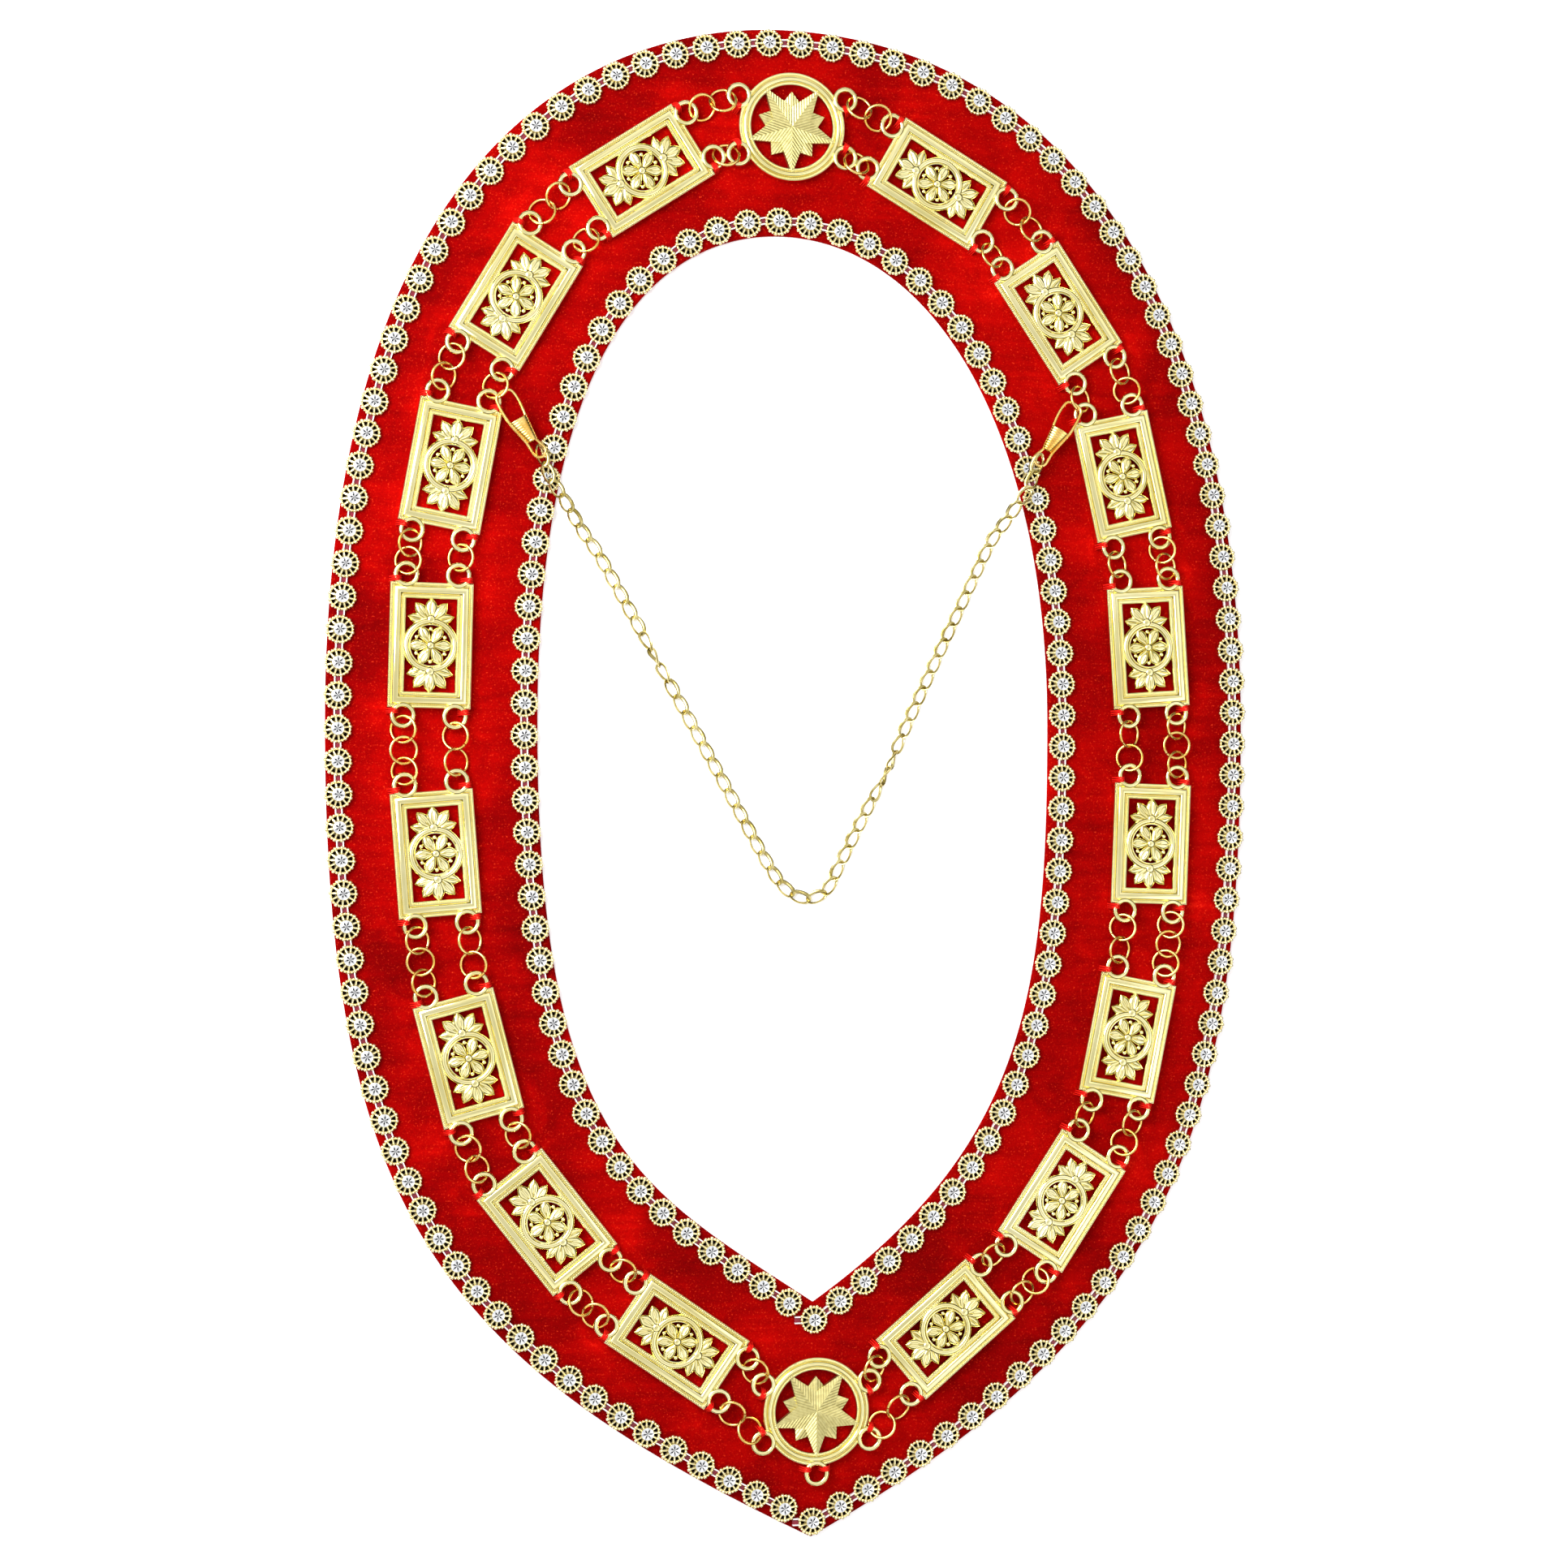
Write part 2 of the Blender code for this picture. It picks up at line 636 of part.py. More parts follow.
def sleeve(maker, nose, down, gate_way):
    """The tapered sleeve that closes the gate."""
    up = gate_way.cross(down)
    if up.z < 0:
        up = -up
    sides = 8
    sections = []
    for share, width in ((0.0, SLEEVE_WIDE), (1.0, SLEEVE_NARROW)):
        middle = nose + down * (SLEEVE_START + share * SLEEVE_LENGTH)
        sections.append([middle + gate_way * (width / 2 * math.cos(face))
                         + up * (SLEEVE_NARROW / 2 * math.sin(face))
                         for face in ((j + 0.5) * math.tau / sides for j in range(sides))])
    loft(maker, sections, closed=False)


def clasps(material):
    for plaques, side, half in ((LEFT_PLAQUES, -1, "left"), (RIGHT_PLAQUES, 1, "right")):
        nose, down, gate_way = clasp_frame(plaques, side)
        wire = built(wire_body, clasp_wire(nose, down, gate_way), CLASP_WIRE / 2)
        mesh = fused(f"clasp_{half}", [wire, built(sleeve, nose, down, gate_way)])
        add_object(f"clasp_{half}", mesh, material)


def smooth_points(route, spacing):
    """Evenly spaced points on a smooth curve through a route's own points."""
    route = [Vector(point) for point in route]
    route = [2 * route[0] - route[1]] + route + [2 * route[-1] - route[-2]]
    dense = []
    for before, start, end, after in zip(route, route[1:], route[2:], route[3:]):
        for step in range(12):
            share = step / 12
            dense.append(0.5 * (2 * start + (end - before) * share
                                + (2 * before - 5 * start + 4 * end - after) * share ** 2
                                + (3 * start - before - 3 * end + after) * share ** 3))
    dense.append(route[-2])
    points, walked = [dense[0]], 0.0
    for before, here in zip(dense, dense[1:]):
        walked += (here - before).length
        if walked >= spacing:
            points.append(here)
            walked = 0.0
    if walked < spacing / 3:
        points.pop()
    return points + [dense[-1]]


def chain_end(plaques, side):
    nose, down, gate_way = clasp_frame(plaques, side)
    return nose + down * (CLASP_LENGTH - CLASP_WIDTH / 2 + SEAT_GAP)


def curb_chain(material):
    route = [chain_end(LEFT_PLAQUES, -1), *CHAIN_ROUTE, chain_end(RIGHT_PLAQUES, 1)]
    tube("curb_chain", smooth_points(route, 2.9 * CHAIN_DIAMETER), CHAIN_DIAMETER, material)


clear_scene()
velvet = make_material("red_velvet", (0.55, 0.0, 0.0), 0.9, 0.0)
gilt = make_material("gilt_casting", (0.78, 0.68, 0.28), 0.25, 1.0)
ring_gilt = make_material("gilt_wire", (0.80, 0.55, 0.15), 0.22, 1.0)
foil = make_material("rhinestone_foil", (0.72, 0.60, 0.25), 0.35, 0.8)
velvet_backing(velvet)
castings(gilt)
ring_rows(ring_gilt)
rhinestone_bands(foil)
clasps(ring_gilt)
curb_chain(ring_gilt)
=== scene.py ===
from math import asin, ceil, copysign, cos, exp, floor, pi, radians, sin, tau

import bmesh
import bpy
from mathutils import Matrix, Vector
from mathutils.kdtree import KDTree


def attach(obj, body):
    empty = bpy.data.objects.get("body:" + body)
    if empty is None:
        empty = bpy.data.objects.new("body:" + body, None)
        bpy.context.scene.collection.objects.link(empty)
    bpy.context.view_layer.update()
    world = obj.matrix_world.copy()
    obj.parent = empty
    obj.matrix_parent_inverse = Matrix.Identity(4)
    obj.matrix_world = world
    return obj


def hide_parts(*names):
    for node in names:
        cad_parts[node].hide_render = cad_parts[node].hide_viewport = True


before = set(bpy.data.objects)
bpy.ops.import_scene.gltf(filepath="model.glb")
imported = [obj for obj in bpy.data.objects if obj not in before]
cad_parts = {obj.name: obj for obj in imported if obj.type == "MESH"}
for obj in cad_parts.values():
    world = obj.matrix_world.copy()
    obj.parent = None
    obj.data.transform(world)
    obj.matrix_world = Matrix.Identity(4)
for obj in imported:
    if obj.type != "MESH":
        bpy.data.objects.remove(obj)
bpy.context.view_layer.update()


# Velvet backing
# A stiff interlining cut to an egg shape, with red pile velvet glued over its face and turned
# under round both edges. All the metal is sewn to it, so it comes first.

MM = 0.001
HALF_WIDTH, HALF_LENGTH = 173.8 * MM, 279.4 * MM
BAND_AT_SIDE, BAND_AT_NAPE, BAND_AT_POINT = 77.0 * MM, 76.6 * MM, 87.2 * MM
VELVET_TOP, VELVET_CROWN = 2.5 * MM, 0.22 * MM
EDGE_ROUND, EDGE_FACETS = 1.2 * MM, 6
EDGE_STEPS, ACROSS_STEPS = 110, 46
DIMPLE_DEPTH, DIMPLE_REACH, DIMPLED_SKIN = 0.35 * MM, 4.0 * MM, 0.3 * MM
RUBBED_REACH = 11.0 * MM
# Where an edge has its top, tip and widest point, as shares of its size, the angle at its tip,
# and for its left (-1) and right (1) side how far its curves reach
OUTER_EDGE = {"top": -0.030, "tip": 0.030, "widest": 0.080, "angle": 63.0,
              -1: (0.34, 0.86, 0.58, 0.52), 1: (0.62, 0.62, 0.52, 0.52)}
INNER_EDGE = {"top": -0.065, "tip": 0.062, "widest": 0.110, "angle": 56.0,
              -1: (0.40, 0.84, 0.72, 0.37), 1: (0.58, 0.60, 0.48, 0.46)}


def linear(hex_colour):
    """An sRGB hex colour as linear RGBA."""
    channels = [int(hex_colour[k:k + 2], 16) / 255 for k in (1, 3, 5)]
    return (*[c / 12.92 if c <= 0.04045 else ((c + 0.055) / 1.055) ** 2.4 for c in channels], 1.0)


def add_node(tree, kind, inputs=None, **settings):
    """Add a node, give it its settings, and set its inputs by name or number. A node or socket
    given for an input is linked to it, a node by its first output."""
    node = tree.nodes.new(kind)
    for name, value in settings.items():
        setattr(node, name, value)
    for socket, value in (inputs or {}).items():
        if isinstance(value, bpy.types.Node):
            value = value.outputs[0]
        if isinstance(value, bpy.types.NodeSocket):
            tree.links.new(value, node.inputs[socket])
        else:
            node.inputs[socket].default_value = value
    return node


def new_material(name):
    material = bpy.data.materials.new(name)
    material.use_nodes = True
    material.node_tree.nodes.clear()
    return material, material.node_tree


def bezier(start, handle_a, handle_b, end, share):
    rest = 1 - share
    return (start * rest ** 3 + handle_a * (3 * rest ** 2 * share)
            + handle_b * (3 * rest * share ** 2) + end * share ** 3)


def half_edge(edge, side, half_width, top, tip):
    """Points down one side of an edge of the velvet, from its top to its tip."""
    top_reach, side_rise, side_fall, tip_reach = edge[side]
    start = Vector((edge["top"] * half_width, top))
    widest = Vector((side * half_width, edge["widest"] * top))
    end = Vector((edge["tip"] * half_width, -tip))
    rise, fall = top - widest.y, widest.y + tip
    lean = radians(edge["angle"])
    upper = (start, start + Vector((top_reach * (widest.x - start.x), 0)),
             widest + Vector((0, side_rise * rise)), widest)
    lower = (widest, widest - Vector((0, side_fall * fall)),
             end + tip_reach * fall * Vector((side * sin(lean), cos(lean))), end)
    return [bezier(*quarter, step / EDGE_STEPS)
            for quarter in (upper, lower) for step in range(EDGE_STEPS)] + [end]


def edge_loop(edge, *sizes):
    right, left = half_edge(edge, 1, *sizes), half_edge(edge, -1, *sizes)
    return right + left[-2:0:-1]


def inward(loop):
    """At each point of a clockwise loop, the mitred direction to its right."""
    ways = []
    for before, point, after in zip(loop[-1:] + loop, loop, loop[1:] + loop[:1]):
        sides = [Vector((way.y, -way.x)) for way in ((point - before).normalized(),
                                                     (after - point).normalized())]
        mitre = (sides[0] + sides[1]).normalized()
        ways.append(mitre / mitre.dot(sides[0]))
    return ways


def corners_at(maker, points):
    return [maker.verts.new(point) for point in points]


def loft(maker, sections, closed):
    """Skin a row of equal cross-sections; a closed row meets itself, an open one is capped."""
    rings = [corners_at(maker, section) for section in sections]
    pairs = list(zip(rings, rings[1:]))
    if closed:
        pairs.append((rings[-1], rings[0]))
    else:
        maker.faces.new(rings[0])
        maker.faces.new(rings[-1])
    for here, there in pairs:
        for k, corner in enumerate(here):
            after = (k + 1) % len(here)
            maker.faces.new((corner, here[after], there[after], there[k]))


def finished_mesh(maker, sharp=35.0, merge=True):
    """Close a mesh, point its faces outwards and shade it smooth between its sharp edges."""
    if merge:
        bmesh.ops.remove_doubles(maker, verts=maker.verts, dist=1e-6)
    bmesh.ops.recalc_face_normals(maker, faces=maker.faces)
    mesh = bpy.data.meshes.new("finished")
    maker.to_mesh(mesh)
    maker.free()
    for polygon in mesh.polygons:
        polygon.use_smooth = True
    mesh.set_sharp_from_angle(angle=radians(sharp))
    return mesh


def skinned(sections, closed, sharp=35.0):
    """A finished mesh of one row of cross-sections."""
    maker = bmesh.new()
    loft(maker, sections, closed)
    return finished_mesh(maker, sharp)


def add_piece(name, data, material=None):
    piece = bpy.data.objects.new(name, data)
    bpy.context.scene.collection.objects.link(piece)
    data.name = name
    if material:
        data.materials.clear()
        data.materials.append(material)
    return piece


# The castings that are sewn down, which dimple the velvet and rub its pile, which is painted
# lighter there as a painted sheen
PLAQUE_WIDTH, PLAQUE_LENGTH = 30.2 * MM, 45.43 * MM
MEDALLION_RADIUS, MEDALLION_LUG_ANGLE = 20.0 * MM, radians(28)
CASTING_BASE = 2.8 * MM
LUG_SPACING, LUG_OVERHANG, LUG_HEIGHT = 18.8 * MM, 2.8 * MM, 3.2 * MM
LUG_DIAMETER, LUG_WIRE = 9.7 * MM, 1.95 * MM
LUG_RADIUS = (LUG_DIAMETER - LUG_WIRE) / 2
STITCH_ANGLE = radians(115)
CORNERS = ((1, 1), (1, -1), (-1, 1), (-1, -1))
# Each casting's place as shares of the collar's half width and half length, and turn in degrees
PLACES = {
    "medallion_back": (-0.016, 0.869, 0.0), "medallion_front": (0.037, -0.831, 0.0),
    "plaque_left_1": (-0.339, 0.803, -57.0), "plaque_left_2": (-0.606, 0.633, -31.0),
    "plaque_left_3": (-0.743, 0.412, -10.5), "plaque_left_4": (-0.784, 0.179, -1.5),
    "plaque_left_5": (-0.773, -0.090, 4.3), "plaque_left_6": (-0.705, -0.355, 14.5),
    "plaque_left_7": (-0.540, -0.570, 38.0), "plaque_left_8": (-0.264, -0.732, 55.0),
    "plaque_right_1": (0.303, 0.801, 60.0), "plaque_right_2": (0.574, 0.634, 34.0),
    "plaque_right_3": (0.719, 0.416, 12.5), "plaque_right_4": (0.778, 0.185, 3.6),
    "plaque_right_5": (0.784, -0.081, -2.2), "plaque_right_6": (0.731, -0.343, -11.5),
    "plaque_right_7": (0.582, -0.561, -33.7), "plaque_right_8": (0.322, -0.728, -50.0),
}


def place_matrix(node):
    across, along, turn = PLACES[node]
    seat = Vector((across * HALF_WIDTH, along * HALF_LENGTH, CASTING_BASE))
    return Matrix.Translation(seat) @ Matrix.Rotation(radians(turn), 4, "Z")


def polar(radius, angle, height=0.0):
    return Vector((radius * cos(angle), radius * sin(angle), height))


def plaque_lug_spot(end, side):
    """A lug's middle on the plaque itself: end 1 is its top, side 1 its right."""
    return Vector((side * LUG_SPACING / 2, end * (PLAQUE_LENGTH / 2 + LUG_OVERHANG), LUG_HEIGHT))


def medallion_lug_spot(angle):
    return polar(MEDALLION_RADIUS + LUG_OVERHANG, angle, LUG_HEIGHT)


def medallion_lug_angle(side, above):
    angle = above * MEDALLION_LUG_ANGLE
    return angle if side > 0 else pi - angle


def plaque_lug(node, end, side):
    return place_matrix(node) @ plaque_lug_spot(end, side)


def medallion_lug(node, side, above):
    return place_matrix(node) @ medallion_lug_spot(medallion_lug_angle(side, above))


def stitch_place(centre, facing, corner_side):
    """At the lug's root nearest the corner, with the strands along the casting's edge."""
    spot = centre + polar(LUG_RADIUS, facing + corner_side * STITCH_ANGLE)
    strands = facing + corner_side * pi / 2
    return Matrix.Translation(spot) @ Matrix.Rotation(strands, 4, "Z")


stitch_places = []
for node, (_, _, turn) in PLACES.items():
    for first, second in CORNERS:
        if node.startswith("plaque"):
            centre = plaque_lug(node, first, second)
            facing = radians(turn) + first * pi / 2
        else:
            centre = medallion_lug(node, first, second)
            facing = medallion_lug_angle(first, second)
        stitch_places.append(stitch_place(centre, facing, -first * second))
jewel_ring = place_matrix("medallion_front") @ medallion_lug_spot(-pi / 2)
stitch_places += [stitch_place(jewel_ring, -pi / 2, side) for side in (1, -1)]


def velvet_section(rim, rim_in, hole, hole_in):
    """One cut across the band: a rounded outer edge, the crowned face, a rounded inner edge."""
    rim_core, hole_core = rim + rim_in * EDGE_ROUND, hole - hole_in * EDGE_ROUND
    section = []
    for step in range(1, ACROSS_STEPS):
        share = step / ACROSS_STEPS
        rise = VELVET_CROWN * min(1.0, 8 * share * (1 - share))
        section.append((*rim_core.lerp(hole_core, share), VELVET_TOP + rise))
    edges = []
    for core, out, start, sweep in ((rim_core, -rim_in, -pi / 2, pi),
                                    (hole_core, hole_in, pi / 2, -pi)):
        bend = [start + sweep * step / EDGE_FACETS for step in range(EDGE_FACETS + 1)]
        edges.append([(*(core + out * (EDGE_ROUND * cos(turn))),
                       max(0.0, VELVET_TOP - EDGE_ROUND + EDGE_ROUND * sin(turn)))
                      for turn in bend])
    return edges[0] + section + edges[1]


outer_edge = edge_loop(OUTER_EDGE, HALF_WIDTH, HALF_LENGTH, HALF_LENGTH)
inner_edge = edge_loop(INNER_EDGE, HALF_WIDTH - BAND_AT_SIDE,
                       HALF_LENGTH - BAND_AT_NAPE, HALF_LENGTH - BAND_AT_POINT)
velvet_mesh = skinned([velvet_section(*parts) for parts in zip(
    outer_edge, inward(outer_edge), inner_edge, inward(inner_edge))], closed=True, sharp=60.0)
sewn = KDTree(len(stitch_places))
for k, spot in enumerate(stitch_places):
    sewn.insert((*spot.to_translation().xy, 0.0), k)
sewn.balance()
# How near each point lies to a stitch. The pile there is really rubbed, and this also paints it
# lighter: a painted sheen.
rubbed_and_sheen = velvet_mesh.attributes.new("rubbed_and_sheen", "FLOAT", "POINT")
for k, vertex in enumerate(velvet_mesh.vertices):
    near = sewn.find((*vertex.co.xy, 0.0))[2]
    rubbed_and_sheen.data[k].value = exp(-(near / RUBBED_REACH) ** 2)
    if vertex.co.z > VELVET_TOP - DIMPLED_SKIN:
        vertex.co.z -= DIMPLE_DEPTH * exp(-(near / DIMPLE_REACH) ** 2)

# Pile velvet: short red fibres that lean as they were last brushed, so the same dye looks deep
# red in one patch and bright orange red in the next, with a soft glow where it turns away. The
# patches are 60 mm wide, the brush marks 12 mm and the crush lines 31 by 3.5 mm. The fibres, in
# fact 0.05 mm thick, are drawn 0.7 mm wide to show, and the brightest are painted as orange
# specks: painted glints. Over all of it the band is painted lighter towards the right and the
# nape and darker towards the left and the front point: painted light and shade. Round the
# stitches the pile is rubbed, and is painted lighter there: a painted sheen.
velvet_material, tree = new_material("pile_velvet")
coordinates = add_node(tree, "ShaderNodeTexCoord").outputs["Object"]
crush_lines = add_node(tree, "ShaderNodeMapping", {
    "Vector": coordinates, "Scale": (1.0, 9.0, 1.0)})
# Painted light and shade: a gradient that makes the pile lighter towards the right and the nape,
# darker towards the left and the front point.
painted_light_gradient = add_node(tree, "ShaderNodeVectorMath", {
    0: coordinates, 1: (0.15, 0.15, 0.0)}, operation="DOT_PRODUCT")
lean, marks = painted_light_gradient.outputs["Value"], []
for vector, size, detail, roughness, distortion, share in (
        (coordinates, 58.82, 2.0, 0.5, 0.4, 1.1), (coordinates, 11.76, 4.0, 0.6, 0.8, 0.5),
        (crush_lines, 31.25, 3.0, 0.55, 0.0, 0.45), (coordinates, 0.7143, 2.0, 0.7, 0.0, 0.5)):
    marks.append(add_node(tree, "ShaderNodeTexNoise", {
        "Vector": vector, "Scale": 1000 / size, "Detail": detail, "Roughness": roughness,
        "Distortion": distortion}))
    lean = add_node(tree, "ShaderNodeMath", {
        0: marks[-1], 1: share, 2: lean}, operation="MULTIPLY_ADD")
_, brushed, _, fibres = marks
# Round the stitches the brush marks are painted lighter: rubbed pile with a painted sheen.
rub = add_node(tree, "ShaderNodeAttribute", attribute_name="rubbed_and_sheen")
painted_rub_sheen = add_node(tree, "ShaderNodeMath", {
    0: brushed, 1: rub.outputs["Fac"]}, operation="MULTIPLY")
lean = add_node(tree, "ShaderNodeMath", {
    0: painted_rub_sheen, 1: 0.45, 2: lean}, operation="MULTIPLY_ADD")
lean = add_node(tree, "ShaderNodeMapRange", {"Value": lean, "From Min": 0.84, "From Max": 1.94})
pile_colour = add_node(tree, "ShaderNodeValToRGB", {"Fac": lean})
ramp = pile_colour.color_ramp
ramp.elements[0].color, ramp.elements[1].color = linear("#560001"), linear("#D81C0C")
for position, colour in ((0.35, "#7C0001"), (0.6, "#980201"), (0.8, "#B00502")):
    ramp.elements.new(position).color = linear(colour)
# Painted glints: the brightest fibres are painted as orange specks.
painted_fibre_glints = add_node(tree, "ShaderNodeMapRange", {
    "Value": fibres, "From Min": 0.62, "From Max": 0.76, "To Max": 0.45})
pile_and_painted_glints = add_node(tree, "ShaderNodeMix", {
    "Factor": painted_fibre_glints, "A": pile_colour, "B": linear("#F84A24")}, data_type="RGBA")
relief = add_node(tree, "ShaderNodeBump", {"Height": lean, "Strength": 0.3, "Distance": 0.0004})
shader = add_node(tree, "ShaderNodeBsdfPrincipled", {
    "Base Color": pile_and_painted_glints.outputs[2], "Roughness": 0.9, "Specular IOR Level": 0.02,
    "Sheen Weight": 0.07, "Sheen Roughness": 0.4, "Sheen Tint": linear("#FF1006"),
    "Normal": relief})
add_node(tree, "ShaderNodeOutputMaterial", {"Surface": shader})

velvet = add_piece("velvet_face", velvet_mesh, velvet_material)
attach(velvet, "root")
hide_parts("velvet_backing")


# Plaques
# Sixteen alike, die cast in zinc and flash plated with pale gold: a rectangular frame with two
# beaded rims, an openwork rosette and palmettes inside it, and four lugs to take the rings.

BEAD_PITCH = 0.76 * MM
BEAD_ACROSS, BEAD_ALONG, BEAD_RISE = 0.5 * MM, 0.36 * MM, 0.36 * MM
MOTIF_BASE, MOTIF_TOP = 1.3 * MM, 3.9 * MM
MOTIF_RING, MOTIF_RING_WIDTH = 10.2 * MM, 3.0 * MM
PETALS, PETAL_LENGTH, PETAL_WIDTH = 6, 7.9 * MM, 4.3 * MM
BOSS_RADIUS, PIP_RADIUS, PIP_CIRCLE = 1.6 * MM, 0.75 * MM, 5.9 * MM
PALMETTE_FOOT, PALMETTE_BOSS_RADIUS = 8.4 * MM, 1.9 * MM
# Each leaf of a palmette: its lean in degrees, length, width and drop in millimetres
PALMETTE_LEAVES = ((-76, 8.6, 3.8, 0.5), (76, 8.6, 3.8, 0.5), (-40, 9.0, 4.2, 0.2),
                   (40, 9.0, 4.2, 0.2), (0, 8.6, 4.6, 0.0))
# Across a leaf: share of its half width, and drop below its crest in millimetres
LEAF_SECTION = ((-1.0, 0.95), (-0.86, 0.5), (-0.5, 0.1), (-0.2, 0.0), (0.0, 0.28),
                (0.2, 0.0), (0.5, 0.1), (0.86, 0.5), (1.0, 0.95))
LEAF_STATIONS, LEAF_DIP = 13, 0.55 * MM
# The ring of the motif: share of its half width, and rise over the motif's top in millimetres
RING_CROWN = ((1.0, -1.6), (0.93, -1.05), (0.77, -0.58), (0.52, -0.22), (0.22, -0.03),
              (-0.08, -0.02), (-0.35, -0.16), (-0.56, -0.42), (-0.64, -0.75), (-0.72, -0.5),
              (-0.9, -0.55), (-1.0, -1.0))
# The frame's section and its rows of beads: distance in from the edge and height, in millimetres
RAIL_SECTION = ((0.0, 0.0), (0.0, 3.1), (0.12, 3.25), (1.05, 3.25), (1.15, 2.95), (1.3, 2.95),
                (1.42, 3.3), (1.7, 3.6), (2.1, 3.83), (2.6, 3.98), (3.1, 4.05), (3.55, 4.0),
                (3.9, 3.8), (4.15, 3.5), (4.35, 3.1), (4.45, 2.85), (4.68, 2.85), (4.78, 3.15),
                (5.78, 3.15), (5.9, 3.0), (5.9, 0.0))
RAIL_BEADS = ((0.58, 3.27), (5.3, 3.17))


def mottled_finish(name, size, tones, surface, span=(0.0, 1.0), detail=2.0, roughness=0.5,
                   relief=None):
    """A material whose colour wanders between two tones in marks of a size in millimetres, and
    whose surface may have a relief: its own size in millimetres, strength and depth."""
    material, tree = new_material(name)
    coordinates = add_node(tree, "ShaderNodeTexCoord").outputs["Object"]
    mottle = add_node(tree, "ShaderNodeTexNoise", {
        "Vector": coordinates, "Scale": 1000 / size, "Detail": detail, "Roughness": roughness})
    tone = add_node(tree, "ShaderNodeValToRGB", {"Fac": mottle})
    for stop, position, colour in zip(tone.color_ramp.elements, span, tones):
        stop.position, stop.color = position, linear(colour)
    if relief:
        grain = add_node(tree, "ShaderNodeTexNoise", {
            "Vector": coordinates, "Scale": 1000 / relief[0]})
        surface["Normal"] = add_node(tree, "ShaderNodeBump", {
            "Height": grain, "Strength": relief[1], "Distance": relief[2]})
    shader = add_node(tree, "ShaderNodeBsdfPrincipled", {"Base Color": tone, **surface})
    add_node(tree, "ShaderNodeOutputMaterial", {"Surface": shader})
    return material


# Gold-plated zinc casting: tumbled smooth and flash plated a pale greenish gold, so it mirrors
# the white above it and goes nearly black where a steep side faces the dark of the room. Its
# tarnish clouds are 26 mm wide, and its orange peel of 2.4 mm is coarser than the real one.
gilt_material = mottled_finish(
    "gilt_zinc_casting", 26.32, ("#EADD96", "#F7EFBA"), {"Metallic": 1.0, "Roughness": 0.12},
    span=(0.30, 0.70), detail=4.0, roughness=0.6, relief=(2.381, 0.03, 0.0003))


def node_tree(name, inputs):
    """A geometry node group with named inputs, and those inputs as sockets."""
    tree = bpy.data.node_groups.new(name, "GeometryNodeTree")
    for label, kind in inputs.items():
        tree.interface.new_socket(label, in_out="INPUT", socket_type="NodeSocket" + kind)
    tree.interface.new_socket("Geometry", in_out="OUTPUT", socket_type="NodeSocketGeometry")
    return tree, add_node(tree, "NodeGroupInput").outputs


def plant_items(tree, given, points, rotation):
    """Set the item on each point, make the copies real and give them their material."""
    item = add_node(tree, "GeometryNodeObjectInfo", {
        "Object": given["Item"], "As Instance": True})
    placed = add_node(tree, "GeometryNodeInstanceOnPoints", {
        "Points": points, "Instance": item.outputs["Geometry"], "Rotation": rotation})
    real = add_node(tree, "GeometryNodeRealizeInstances", {0: placed})
    finished = add_node(tree, "GeometryNodeSetMaterial", {
        "Geometry": real, "Material": given["Finish"]})
    add_node(tree, "NodeGroupOutput", {"Geometry": finished})


def grown(tree, **values):
    """Run a node tree once and keep what it makes as a plain mesh."""
    host = add_piece("host", bpy.data.meshes.new("host"))
    modifier = host.modifiers.new(tree.name, "NODES")
    modifier.node_group = tree
    for socket in tree.interface.items_tree:
        if socket.in_out == "INPUT":
            modifier[socket.identifier] = values[socket.name]
    graph = bpy.context.evaluated_depsgraph_get()
    mesh = bpy.data.meshes.new_from_object(host.evaluated_get(graph))
    host.modifiers.remove(modifier)
    bpy.data.objects.remove(host)
    for polygon in mesh.polygons:
        polygon.use_smooth = True
    return mesh


# Items set at even distances along a path, each turned to follow it
follow_path, given = node_tree("items_along_a_path", {
    "Path": "Object", "Item": "Object", "Count": "Int", "Spin": "Float", "Seed": "Int",
    "Finish": "Material"})
path_info = add_node(follow_path, "GeometryNodeObjectInfo", {"Object": given["Path"]})
spaced = add_node(follow_path, "GeometryNodeResampleCurve", {
    "Curve": path_info.outputs["Geometry"], "Count": given["Count"]}, mode="COUNT")
tangent = add_node(follow_path, "GeometryNodeInputTangent")
heading = add_node(follow_path, "FunctionNodeAlignRotationToVector", {
    "Vector": tangent}, axis="X", pivot_axis="Z")
facing = add_node(follow_path, "FunctionNodeAlignRotationToVector", {
    "Rotation": heading, "Vector": tangent}, axis="X")
spin = add_node(follow_path, "FunctionNodeRandomValue", {
    3: given["Spin"], "Seed": given["Seed"]}, data_type="FLOAT")
spin_rotation = add_node(follow_path, "FunctionNodeAxisAngleToRotation", {
    "Axis": (0, 0, 1), "Angle": spin.outputs[1]})
turned = add_node(follow_path, "FunctionNodeRotateRotation", {
    "Rotation": facing, "Rotate By": spin_rotation}, rotation_space="LOCAL")
plant_items(follow_path, given, spaced, turned)


def along(points, item, count, material, spin=0.0, seed=0):
    """Copies of an item along a closed path, as one plain mesh."""
    curve = bpy.data.curves.new("path", "CURVE")
    curve.dimensions = "3D"
    spline = curve.splines.new("POLY")
    spline.points.add(len(points) - 1)
    for spot, point in zip(spline.points, points):
        spot.co = (*point, 1.0)
    spline.use_cyclic_u = True
    path = add_piece("path", curve)
    mesh = grown(follow_path, Path=path, Item=item, Count=count, Spin=spin, Seed=seed,
                 Finish=material)
    bpy.data.objects.remove(path)
    return mesh


